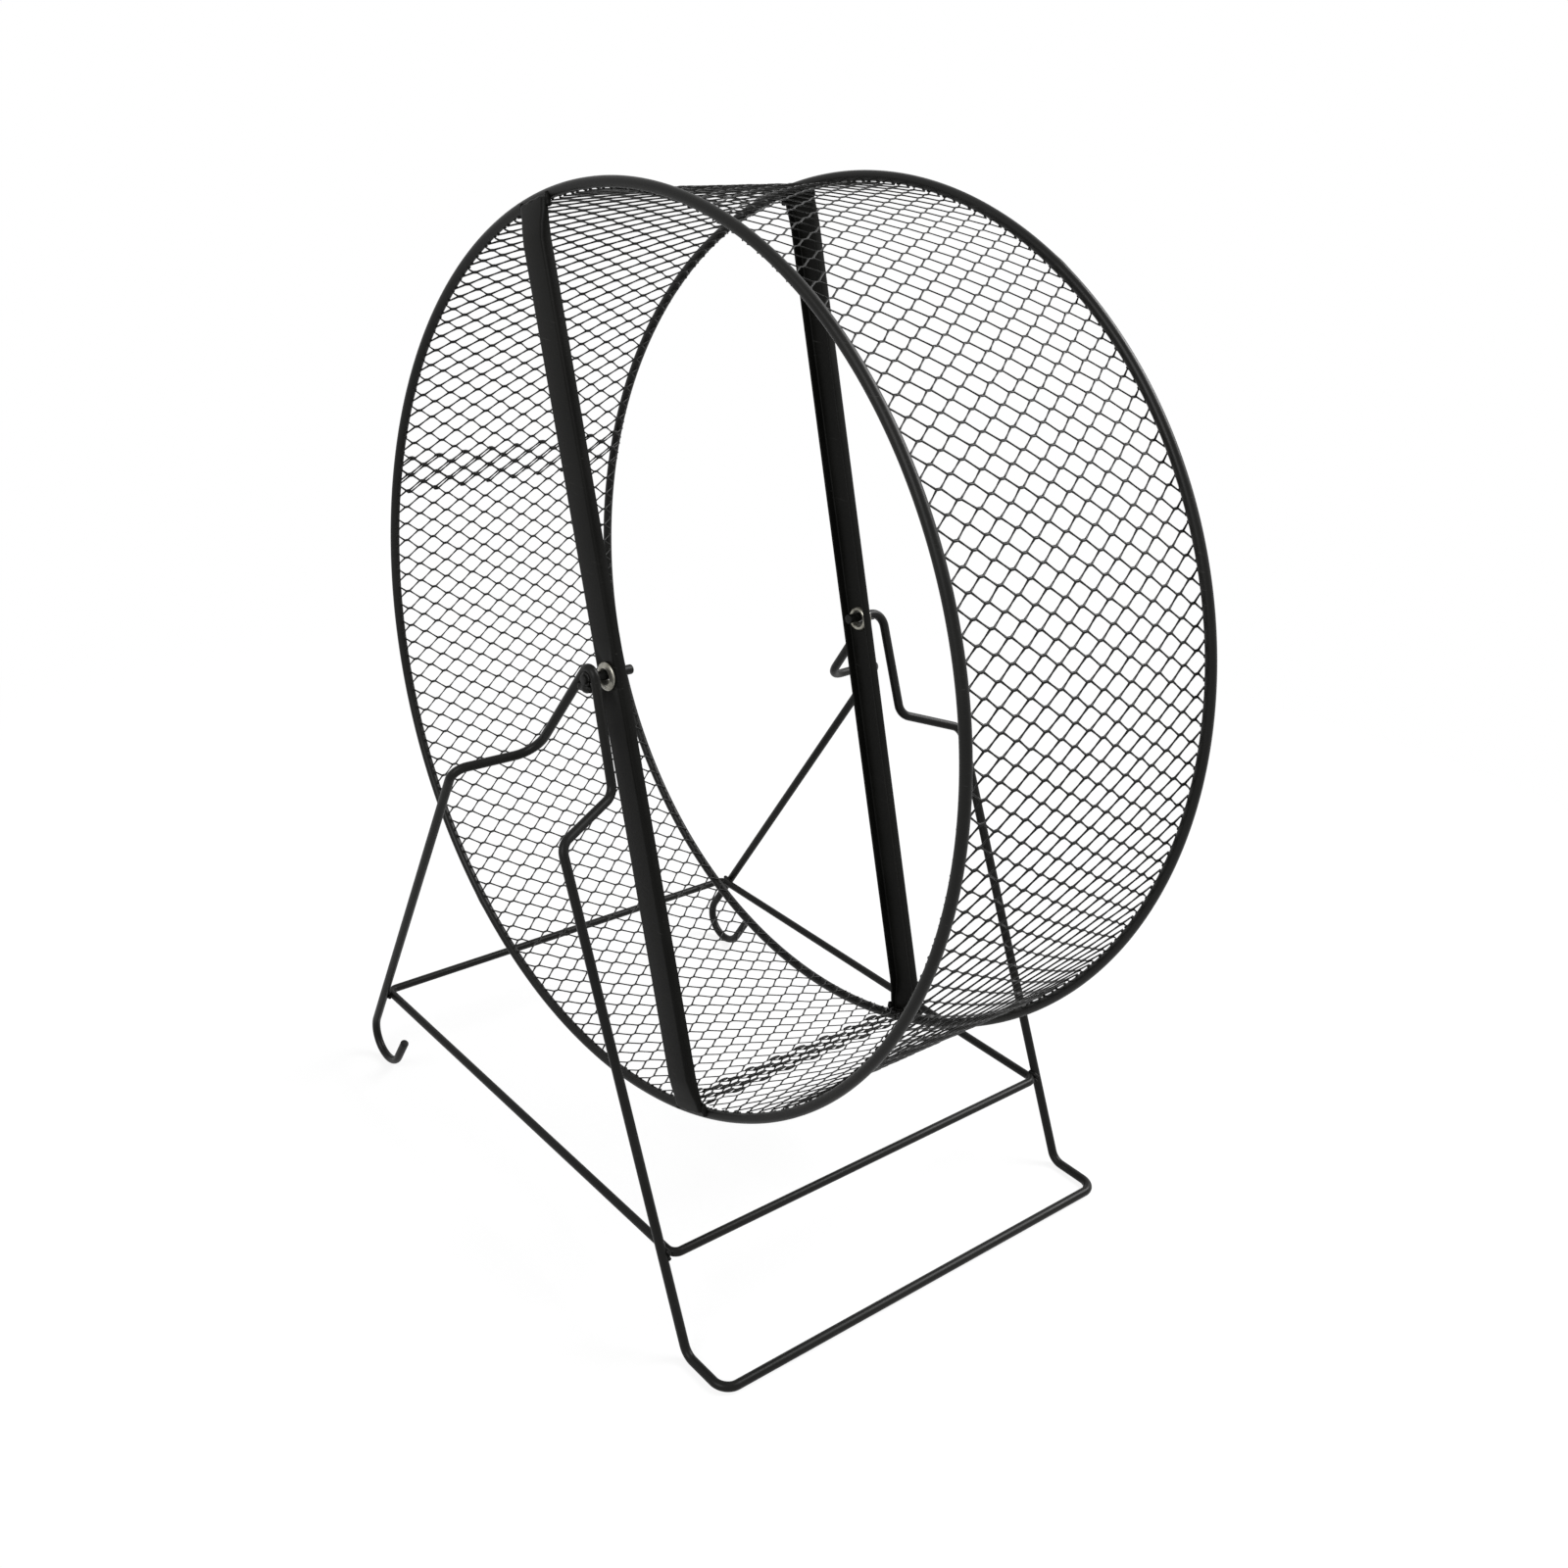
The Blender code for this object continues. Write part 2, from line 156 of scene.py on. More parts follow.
def cut_end(tip, inward, radius, edge):
    """The (place, radius) pairs of a cut end, from its flat face to the wire's full width."""
    turns = [math.pi / 2 * n / CUT_STEPS for n in range(CUT_STEPS, -1, -1)]
    return [(tip + inward * edge * (1 - math.sin(a)), radius - edge * (1 - math.cos(a))) for a in turns]


def sweep(shell, route, width, closed=False, swell=None, edge_share=CUT_EDGE_SHARE, sides=WIRE_SIDES):
    """Adds a round wire along a route to a bmesh. swell gives its width's factor at a share of its length."""
    radii = [width / 2 * (swell(n / (len(route) - 1)) if swell else 1) for n in range(len(route))]
    stations = list(zip(route, radii))
    if not closed:
        first = cut_end(route[0], (route[1] - route[0]).normalized(), radii[0], radii[0] * edge_share)
        last = cut_end(route[-1], (route[-2] - route[-1]).normalized(), radii[-1], radii[-1] * edge_share)
        stations = first + stations[1:-1] + last[::-1]
    side = (route[1] - route[0]).orthogonal()
    loops = []
    for n, (spot, radius) in enumerate(stations):
        before = stations[n - 1][0] if closed or n else spot
        after = stations[(n + 1) % len(stations)][0] if closed or n < len(stations) - 1 else spot
        forward = (after - before).normalized()
        side = (side - forward * side.dot(forward)).normalized()
        up = forward.cross(side)
        turns = [2 * math.pi * k / sides for k in range(sides)]
        rounds = [side * math.cos(a) + up * math.sin(a) for a in turns]
        loops.append([shell.verts.new(spot + outward * radius) for outward in rounds])
    for n in range(0 if closed else 1, len(loops)):
        for k in range(sides):
            shell.faces.new((loops[n - 1][k - 1], loops[n - 1][k], loops[n][k], loops[n][k - 1]))
    if not closed:
        shell.faces.new(loops[0][::-1])
        shell.faces.new(loops[-1])


class Signal:
    """A value that varies over a surface. An expression on it adds its Math nodes."""

    def __init__(self, tree, socket):
        self.tree = tree
        self.socket = socket

    def math(self, operation, *values):
        """Adds one Math node."""
        node = self.tree.nodes.new("ShaderNodeMath")
        node.operation = operation
        for slot, value in zip(node.inputs, values):
            if isinstance(value, Signal):
                self.tree.links.new(value.socket, slot)
            else:
                slot.default_value = value
        return Signal(self.tree, node.outputs[0])

    def __add__(self, other):
        return self.math("ADD", self, other)

    def __sub__(self, other):
        return self.math("SUBTRACT", self, other)

    def __rsub__(self, other):
        return self.math("SUBTRACT", other, self)

    def __mul__(self, other):
        return self.math("MULTIPLY", self, other)

    def __truediv__(self, other):
        return self.math("DIVIDE", self, other)

    def __abs__(self):
        return self.math("ABSOLUTE", self)

    __radd__ = __add__
    __rmul__ = __mul__

    def between(self, low, high):
        """0 at low and 1 at high, held at 0 and 1 outside them."""
        share = (self - low) / (high - low)
        return self.math("MINIMUM", self.math("MAXIMUM", share, 0), 1)


class Nodes:
    """The nodes of a material or of the world. Each one but a Math node comes from add."""

    def __init__(self, tree):
        self.tree = tree

    def add(self, kind, settings=None, values=None):
        """Adds a node: its settings first, then its sockets' values or links. Gives its outputs by name."""
        node = self.tree.nodes.new(kind)
        for name, setting in (settings or {}).items():
            setattr(node, name, setting)
        slots = {slot.identifier: slot for slot in node.inputs}
        for name, value in (values or {}).items():
            if isinstance(value, Signal):
                self.tree.links.new(value.socket, slots[name])
            else:
                slots[name].default_value = value
        return {out.identifier: Signal(self.tree, out) for out in node.outputs}


class Finish(Nodes):
    """One material. Constants are set on its shader."""

    def __init__(self, name, constants):
        self.material = bpy.data.materials.new(name)
        self.material.use_nodes = True
        super().__init__(self.material.node_tree)
        self.shader = self.tree.nodes["Principled BSDF"]
        for socket, value in constants.items():
            self.shader.inputs[socket].default_value = value

    def noise(self, where, scale, detail):
        """Cloudy noise, with scale in bumps to the metre."""
        values = {"Vector": where, "Scale": scale, "Detail": detail}
        return self.add("ShaderNodeTexNoise", None, values)["Fac"]

    def stretch(self, where, factors):
        """A place with each of its coordinates multiplied, to draw a pattern out."""
        values = {"Vector": where, "Vector_001": factors}
        return self.add("ShaderNodeVectorMath", {"operation": "MULTIPLY"}, values)["Vector"]

    def blend(self, first, second, share):
        """A colour that goes from the first to the second."""
        values = {"Factor_Float": share, "A_Color": first, "B_Color": second}
        return self.add("ShaderNodeMix", {"data_type": "RGBA"}, values)["Result_Color"]

    def feed(self, socket, signal):
        """Links a varying value to the shader."""
        self.tree.links.new(signal.socket, self.shader.inputs[socket])

    def emboss(self, height, depth):
        """Raises the surface by a height from 0 to 1 times a depth in metres."""
        self.feed("Normal", self.add("ShaderNodeBump", None, {"Height": height, "Distance": depth})["Normal"])


COAT_BLACK = (0.0030, 0.0030, 0.0026, 1)
COAT_FADED = (0.0070, 0.0070, 0.0063, 1)
COAT_SCUFF = (0.045, 0.045, 0.043, 1)
BARE_STEEL = (0.42, 0.41, 0.40, 1)
WIRE_GLOSS = 0.135  # the shader's specular level
CLOUDS = 38.0  # patches to the metre, for slow changes of sheen
ORANGE_PEEL = 1150.0
GRIT = 4300.0
PEEL_DEPTH = 0.028 * MM
PEEL_SHARE = 0.75  # of that depth, and grit is the rest
SCUFF_STRETCH = (90.0, 700.0, 2600.0)
SCUFF_NOISE = (0.66, 0.74)  # where scuffs start in their noise, and where they are full
SCUFF_CLOUDS = (0.45, 0.6)  # the same for the clouds that they lie in
SCUFF_SHARE = 0.5  # how far they go towards their own colour
FADE_CLOUDS = (0.35, 0.7)
FADE_GRIT = (0.5, 0.75)
FADE_CLOUD_SHARE = 0.55  # of the fading, and grit is the rest
SHEEN_CLOUDS = (0.3, 0.7)
COAT_ROUGHNESS = 0.30  # and what clouds, grit and scuffs add to it
CLOUD_ROUGHNESS = 0.12
GRIT_ROUGHNESS = 0.08
SCUFF_ROUGHNESS = 0.1
STEEL_ROUGHNESS = 0.22
STEEL_GRIT_ROUGHNESS = 0.2


def satin_black(name, gloss, worn=None):
    """Baked powder coat: orange peel, fine grit, clouds in its sheen, a few scuffs, and steel where worn."""
    coat = Finish(name, {"Specular IOR Level": gloss})
    here = coat.add("ShaderNodeTexCoord")["Object"]
    clouds = coat.noise(here, CLOUDS, detail=3.0)
    peel = coat.noise(here, ORANGE_PEEL, detail=2.0)
    grit = coat.noise(here, GRIT, detail=1.0)
    scratches = coat.noise(coat.stretch(here, SCUFF_STRETCH), 1.0, detail=3.0)
    scuffs = scratches.between(*SCUFF_NOISE) * clouds.between(*SCUFF_CLOUDS)
    faded = clouds.between(*FADE_CLOUDS) * FADE_CLOUD_SHARE
    faded = faded + grit.between(*FADE_GRIT) * (1 - FADE_CLOUD_SHARE)
    colour = coat.blend(coat.blend(COAT_BLACK, COAT_FADED, faded), COAT_SCUFF, scuffs * SCUFF_SHARE)
    roughness = COAT_ROUGHNESS + clouds.between(*SHEEN_CLOUDS) * CLOUD_ROUGHNESS
    roughness = roughness + grit * GRIT_ROUGHNESS + scuffs * SCUFF_ROUGHNESS
    if worn:
        steel = worn(coat, here, grit)
        colour = coat.blend(colour, BARE_STEEL, steel)
        roughness = roughness * (1 - steel) + (STEEL_ROUGHNESS + grit * STEEL_GRIT_ROUGHNESS) * steel
        coat.feed("Metallic", steel)
    coat.feed("Base Color", colour)
    coat.feed("Roughness", roughness)
    coat.emboss(peel * PEEL_SHARE + grit * (1 - PEEL_SHARE), PEEL_DEPTH)
    return coat


RUB_HEIGHT = 0.35 * MM  # the paint is worn through up to here, where the stand rests
RUB_FADE = 0.25 * MM
RUB_RAGGED = 0.7 * MM  # how far its edge wanders up and down
TRACK_FADE = 0.6 * MM
TRACK_GRIT = (0.3, 0.55)


def stand_wear(coat, here, grit):
    """Bare steel under the feet, and on the stubs where the eyelets turn."""
    place = coat.add("ShaderNodeSeparateXYZ", None, {"Vector": here})
    ragged = (grit - 0.5) * RUB_RAGGED
    under = 1 - (place["Z"] + ragged).between(RUB_HEIGHT, RUB_HEIGHT + RUB_FADE)
    across = abs(place["Y"]) + ragged
    from_inside = across.between(hub_inside - TRACK_FADE, hub_inside)
    to_outside = 1 - across.between(hub_outside, hub_outside + TRACK_FADE)
    on_stub = place["Z"].between(hub_height - LEG_WIRE, hub_height - LEG_WIRE / 2)
    track = from_inside * to_outside * on_stub * grit.between(*TRACK_GRIT)
    return (under + track).between(0, 1)


stand_black = satin_black("stand_black", WIRE_GLOSS, stand_wear)

crown_front = round_stub(crown_leave(front_arm, 1))
half_frame = [
    (front_arm, TIGHT_BEND),
    (front_shoulder, TIGHT_BEND),
    (front_foot, TIGHT_BEND),
    (toe, TIGHT_BEND),
]
right_half = [(stub_tip, 0), (crown, TIGHT_BEND)] + half_frame
left_half = [(on_side(spot, LEFT), radius) for spot, radius in [(crown_front[-1], 0)] + half_frame]
route = open_route(right_half + left_half[::-1]) + [on_side(spot, LEFT) for spot in crown_front[-2::-1]]
shell = bmesh.new()
sweep(shell, route, LEG_WIRE, edge_share=SQUARE_EDGE_SHARE)
sweep(shell, [on_side(stub_tip, LEFT), on_side(crown + Vector((0, STUB_TAIL, 0)), LEFT)], LEG_WIRE)
front_frame_wire = new_piece("front_frame_wire", shell, stand_black)
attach(front_frame_wire, "stand")
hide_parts("front_frame")


# Rear legs
# The left one is the end of the same wire, from the top of the bend round the stub, back and down over the
# shoulder. The right one is a wire of its own, whose top is welded behind the stub. Both feet are hooked
# forward, so that they can also hang on a cage wire, and cut off.

SIDES = (("left", LEFT), ("right", RIGHT))
RIGHT_TOP = Vector((-2.3, -3.4, -1.3)) * MM  # the top of the right leg, from the corner of the stub
REAR_ARM_BEND = 9.0 * MM
REAR_ARM_BEHIND = 24.3 * MM
REAR_ARM_DROP = 31.4 * MM
REAR_ARM_FLARE = 2.3 * MM
REAR_SHOULDER_BEHIND = 28.2 * MM
REAR_SHOULDER_DROP = 33.0 * MM
REAR_SHOULDER_FLARE = 28.1 * MM
REAR_FOOT_BEHIND = 92.5 * MM
REAR_FOOT_DRAW_IN = 9.0 * MM
HOOK_RADIUS = 9.0 * MM
HOOK_RISE = math.radians(60.0)
HOOK_TIP = 10.0 * MM

rear_arm = Vector((-REAR_ARM_BEHIND, arm_side + REAR_ARM_FLARE, hub_height - REAR_ARM_DROP))
rear_shoulder = Vector(
    (-REAR_SHOULDER_BEHIND, rear_arm.y + REAR_SHOULDER_FLARE, hub_height - REAR_SHOULDER_DROP)
)
hook_centre = Vector((-REAR_FOOT_BEHIND, rear_shoulder.y - REAR_FOOT_DRAW_IN, foot_height + HOOK_RADIUS))


def hook_spot(angle):
    """A point on the round of a hooked foot, with the angle measured from +X towards +Z."""
    return hook_centre + HOOK_RADIUS * Vector((math.cos(angle), 0, math.sin(angle)))


def hook_start():
    """The angle on the hook's round at which the straight leg runs into it."""
    line = hook_centre - rear_shoulder
    slope = math.atan2(line.z, line.x)
    lean = math.asin(HOOK_RADIUS / math.hypot(line.x, line.z))
    return math.remainder(slope - lean - math.pi / 2, 2 * math.pi)


def round_foot():
    """Points round a hooked foot and the end of its straight tip."""
    first = hook_start()
    last = HOOK_RISE - math.pi / 2
    first -= 2 * math.pi if first > last else 0
    steps = math.ceil((last - first) / BEND_STEP)
    spots = [hook_spot(first + (last - first) * n / steps) for n in range(steps + 1)]
    return spots + [spots[-1] + HOOK_TIP * Vector((math.cos(HOOK_RISE), 0, math.sin(HOOK_RISE)))]


for title, side in SIDES:
    foot = round_foot()
    tops = [crown + RIGHT_TOP]
    if side == LEFT:
        tops = round_stub(crown_leave(rear_arm, -1) + 2 * math.pi)
    corners = [(tops[-1], 0), (rear_arm, REAR_ARM_BEND), (rear_shoulder, TIGHT_BEND), (foot[0], 0)]
    route = tops[:-1] + open_route(corners) + foot[1:]
    shell = bmesh.new()
    sweep(shell, [on_side(spot, side) for spot in route], LEG_WIRE, edge_share=SQUARE_EDGE_SHARE)
    leg = new_piece(f"{title}_rear_leg_wire", shell, stand_black)
    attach(leg, "stand")
    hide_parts(f"{title}_rear_leg")


# Base loop
# A closed loop of slightly thinner wire, butt welded at the middle of its back and spot welded to the inner
# sides of the four legs, which it holds apart.

BASE_WIRE = 2.8 * MM
BASE_HEIGHT = 29.2 * MM
BASE_OVERHANG = 1.5 * MM  # how far its corners pass the legs
BASE_BEND = 3.0 * MM
WELD_SEAT = 0.15 * MM  # how far welded wires are pressed towards each other


def at_base(shoulder, foot):
    """Where a straight leg passes the height of the base loop."""
    return shoulder.lerp(foot, (shoulder.z - BASE_HEIGHT) / (shoulder.z - foot.z))


inset = Vector((0, (LEG_WIRE + BASE_WIRE) / 2 - WELD_SEAT, 0))
past = Vector((BASE_OVERHANG, 0, 0))
front_crossing = at_base(front_shoulder, front_foot)
back_crossing = at_base(rear_shoulder, hook_spot(hook_start()))
base_front = front_crossing - inset + past
base_back = back_crossing - inset - past
corners = [base_front, base_back, on_side(base_back, LEFT), on_side(base_front, LEFT)]
route = []
for n, corner in enumerate(corners):
    route += bend(corners[n - 1], corner, corners[(n + 1) % len(corners)], BASE_BEND)
shell = bmesh.new()
sweep(shell, route, BASE_WIRE, closed=True)
base_loop_wire = new_piece("base_loop_wire", shell, stand_black)
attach(base_loop_wire, "stand")
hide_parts("base_loop")


# Welds of the stand
# A bead round the left stub where the wire is bent over it, a fuller one under it between the legs, one along
# the right stub at the top of its rear leg, small ones above and below the base loop where it meets a leg,
# and the loop's own butt weld. All lie under the paint.

BEAD_SIDES = 12
BEAD_END_SHARE = 0.72  # of a bead's full width, where its round ends begin
BEAD_ROUND_SHARE = 0.96  # how much of an end's radius is rounded
BEAD_RIPPLE_SHARE = 0.09
LINE_BEAD_STEPS = 14
LINE_BEAD_RIPPLES = 2
STUB_BEAD = 1.4 * MM  # the width of each bead
STUB_BEAD_RADIUS = 1.65 * MM  # from the stub's centre line to the bead's
STUB_BEAD_OUT = 1.2 * MM  # how far the bead lies outside the upright's centre line
STUB_BEAD_TURN = math.radians(342.0)
STUB_BEAD_STEPS = 48
STUB_BEAD_RIPPLES = 7
CROTCH_BEAD = 3.1 * MM
CROTCH_BEAD_ENDS = (Vector((-4.3, 0.6, -3.3)) * MM, Vector((2.2, 0.4, -2.9)) * MM)
RIGHT_TOP_BEAD = 2.3 * MM
RIGHT_TOP_BEAD_ENDS = (Vector((-1.2, -5.4, -1.3)) * MM, Vector((-1.2, -1.4, -1.5)) * MM)
CROSSING_BEAD = 1.6 * MM
CROSSING_BEAD_LENGTH = 4.2 * MM
CROSSING_BEAD_RISE = 0.62 * CROSSING_BEAD  # above and below the place where the wires touch
BUTT_WELD = 1.14 * BASE_WIRE
BUTT_WELD_LENGTH = 4.0 * MM
BUTT_WELD_RIPPLES = 1


def bead(shell, route, width, ripples):
    """Adds a weld bead along a short route: round ends, fuller in the middle, with a few ripples."""

    def swell(share):
        full = BEAD_END_SHARE + (1 - BEAD_END_SHARE) * math.sin(math.pi * share)
        return full + BEAD_RIPPLE_SHARE * math.sin(2 * math.pi * ripples * share)

    sweep(shell, route, width, swell=swell, edge_share=BEAD_ROUND_SHARE, sides=BEAD_SIDES)


def line_bead(shell, middle, along, width, ripples=LINE_BEAD_RIPPLES):
    """Adds a straight bead, given by the place of its middle and by its whole length as a vector."""
    shares = [n / LINE_BEAD_STEPS - 0.5 for n in range(LINE_BEAD_STEPS + 1)]
    bead(shell, [middle + along * share for share in shares], width, ripples)


shell = bmesh.new()
route = []
for n in range(STUB_BEAD_STEPS + 1):
    turn = STUB_BEAD_TURN * n / STUB_BEAD_STEPS
    off = Vector((STUB_BEAD_RADIUS * math.cos(turn), STUB_BEAD_OUT, STUB_BEAD_RADIUS * math.sin(turn)))
    route.append(on_side(crown + off, LEFT))
bead(shell, route, STUB_BEAD, STUB_BEAD_RIPPLES)
for side, (first, last), width in (
    (LEFT, CROTCH_BEAD_ENDS, CROTCH_BEAD),
    (RIGHT, RIGHT_TOP_BEAD_ENDS, RIGHT_TOP_BEAD),
):
    line_bead(shell, on_side(crown + (first + last) / 2, side), on_side(last - first, side), width)
for side in (LEFT, RIGHT):
    for crossing in (front_crossing, back_crossing):
        for rise in (-CROSSING_BEAD_RISE, CROSSING_BEAD_RISE):
            contact = on_side(crossing + Vector((0, -LEG_WIRE / 2, rise)), side)
            line_bead(shell, contact, Vector((CROSSING_BEAD_LENGTH, 0, 0)), CROSSING_BEAD)
back_middle = Vector((base_back.x, 0, BASE_HEIGHT))
line_bead(shell, back_middle, Vector((0, BUTT_WELD_LENGTH, 0)), BUTT_WELD, BUTT_WELD_RIPPLES)
bmesh.ops.recalc_face_normals(shell, faces=shell.faces)
stand_welds = new_piece("stand_welds", shell, stand_black)
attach(stand_welds, "stand")


# Rings
# Two rings of 3.2 mm wire, rolled round and closed by a butt weld that leaves a slight collar. They are the
# edges of the drum, and its sheets and its crossbars are welded to them.

RING_WIRE = 3.2 * MM
RING_STEPS = 600
LEFT_RING_WELD = math.radians(236.0)  # where each ring is closed, measured from +X towards +Z
RIGHT_RING_WELD = math.radians(62.0)
COLLAR_WIDTH = 2.0 * MM
COLLAR_SHARE = 0.07  # how much wider the wire is at its weld
COLLAR_RIPPLES = 9
COLLAR_RIPPLE_SHARE = 0.3

right_ring_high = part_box("right_ring")[1]
wheel_radius = (left_ring_high.z - left_ring_low.z) / 2
hub = Vector((0, (left_ring_low.y + right_ring_high.y) / 2, hub_height))
ring_side = right_ring_high.y - hub.y
ring_radius = wheel_radius - RING_WIRE / 2
ring_middle = ring_side - RING_WIRE / 2

RING_GLOSS = 0.16
ring_black = satin_black("ring_black", RING_GLOSS)


def on_wheel(radius, angle, out):
    """A place on the wheel: distance from the axis, angle from +X towards +Z, and how far along Y."""
    return hub + Vector((radius * math.cos(angle), out, radius * math.sin(angle)))


def collar(share):
    """The swell of the butt weld, which lies at the middle of the route."""
    off = (share - 0.5) * 2 * math.pi * ring_radius / COLLAR_WIDTH
    ripple = 1 + COLLAR_RIPPLE_SHARE * math.sin(COLLAR_RIPPLES * off)
    return 1 + COLLAR_SHARE * math.exp(-off * off) * ripple


for title, side, weld in (("left", LEFT, LEFT_RING_WELD), ("right", RIGHT, RIGHT_RING_WELD)):
    turns = [weld + math.pi + 2 * math.pi * n / RING_STEPS for n in range(RING_STEPS)]
    route = [on_wheel(ring_radius, turn, side * ring_middle) for turn in turns]
    shell = bmesh.new()
    sweep(shell, route, RING_WIRE, closed=True, swell=collar)
    bmesh.ops.recalc_face_normals(shell, faces=shell.faces)
    ring_wire = new_piece(f"{title}_ring_wire", shell, ring_black)
    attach(ring_wire, "wheel")
    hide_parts(f"{title}_ring")


# Expanded metal sheets
# The running surface: sheet steel, slit and drawn open into staggered diamonds, cut to two lengths, rolled
# and laid inside the rings. Its sides are cut through the open diamonds, on the rings' middles, and at both
# seams the ends of the longer sheet lie inside those of the shorter one.

STRAY_SEED = 7
ROWS_PER_TURN = 136
HALF_COLUMNS = 16
STRAND_WIDTH = 0.58 * MM  # at its ends
STRAND_WAIST = 0.6  # the share of that left at its middle
STRAND_LEAN = math.radians(20.0)  # how far drawing has turned the strands out of the sheet
SHEET_THICKNESS = 0.32 * MM
KNOT_LENGTH = 2.2 * MM  # of the whole metal between two slits
KNOT_HEIGHT = 0.74 * MM
KNOT_STRAY = 0.11 * MM  # how far a knot is out of its place, along the sheet
KNOT_LIFT = 0.055 * MM  # and off it
SHORTEST_CUT_SHARE = 0.1  # a cut strand shorter than this share of a whole one is left off
MESH_GLOSS = 0.15
BACK_SEAM = math.radians(167.5)
LOWER_SEAM = math.radians(288.0)
BACK_OVERLAP_ROWS = 2
LOWER_OVERLAP_ROWS = 2
SHEET_MARGIN = 3.5 * MM  # from the outermost knots to the cut edge
STEP_ROWS = 3  # the rows in which the longer sheet steps out to the rings
MISFIT_ROWS = 14  # the rows in which a misfit of the longer sheet eases out from its seam
BACK_MISFIT = Vector((0.35, 0.3)) * MM  # how far the two sheets are out of step, round and across
LOWER_MISFIT = Vector((1.6, 2.7)) * MM
NO_MISFIT = Vector((0, 0))

row_angle = 2 * math.pi / ROWS_PER_TURN
column_width = 2 * (ring_middle - SHEET_MARGIN) / HALF_COLUMNS
knot_lean = STRAND_WIDTH * math.sin(STRAND_LEAN)
outer_layer = ring_radius - RING_WIRE / 2 - SHEET_THICKNESS / 2 - knot_lean
inner_layer = outer_layer - SHEET_THICKNESS - knot_lean * 2
chance = random.Random(STRAY_SEED)

mesh_black = satin_black("mesh_black", MESH_GLOSS)


def ease(share):
    """Rises from 0 to 1, level at both ends."""
    share = min(max(share, 0), 1)
    return share * share * (3 - 2 * share)


# A knot's corners, and the four of them that a strand joins, by the way that it runs across and round the
# drum: two corners of its own knot and two of the next one.
RIGHT_TIP, UPPER_RIGHT, UPPER_LEFT, LEFT_TIP, LOWER_LEFT, LOWER_RIGHT = range(6)
STRANDS = {
    (1, 1): (UPPER_RIGHT, RIGHT_TIP, LOWER_LEFT, LEFT_TIP),
    (1, -1): (RIGHT_TIP, LOWER_RIGHT, LEFT_TIP, UPPER_LEFT),
    (-1, 1): (LEFT_TIP, UPPER_LEFT, RIGHT_TIP, LOWER_RIGHT),
    (-1, -1): (LOWER_LEFT, LEFT_TIP, UPPER_RIGHT, RIGHT_TIP),
}


def knot_corners():
    """(across, round, outward) of a knot's six corners. Its slanted sides are as wide as the strands."""
    side = KNOT_LENGTH / 2
    rise = KNOT_HEIGHT / 2
    slope = math.atan2(outer_layer * row_angle / 2 - rise, column_width - side)
    seen_width = STRAND_WIDTH * math.cos(STRAND_LEAN)
    shoulder = side - (seen_width - rise * math.cos(slope)) / math.sin(slope)
    return (
        (side, 0, 0),
        (shoulder, rise, -knot_lean),
        (-shoulder, rise, -knot_lean),
        (-side, 0, 0),
        (-shoulder, -rise, knot_lean),
        (shoulder, -rise, knot_lean),
    )


def strand(shell, knot, next_knot, joined):
    """Joins two knots by a strand that narrows to its waist, so that the openings look round."""
    near, near_other = [knot[n] for n in joined[:2]]
    far_other, far = [next_knot[n] for n in joined[2:]]
    edge = (near.co + far.co) / 2
    other_edge = (near_other.co + far_other.co) / 2
    middle = (edge + other_edge) / 2
    waist = shell.verts.new(middle.lerp(edge, STRAND_WAIST))
    other_waist = shell.verts.new(middle.lerp(other_edge, STRAND_WAIST))
    shell.faces.new((near, near_other, other_waist, waist))
    shell.faces.new((waist, other_waist, far_other, far))


def cut_strand(shell, knot, ahead, joined):
    """Adds a strand from a knot towards the place of the next one, cut off at the sheet's edge."""
    near, near_other = [knot[n] for n in joined[:2]]
    far_other, far = [ahead[n] for n in joined[2:]]
    ends = []
    for begin, end in ((near, far), (near_other, far_other)):
        reach = abs(begin.co.y - hub.y)
        share = (ring_middle - reach) / (abs(end.y - hub.y) - reach)
        if share < SHORTEST_CUT_SHARE:
            return
        ends.append(begin.co.lerp(end, share))
    middle = (ends[0] + ends[1]) / 2
    cut, other_cut = [shell.verts.new(middle.lerp(end, STRAND_WAIST)) for end in ends]
    shell.faces.new((near, near_other, other_cut, cut))


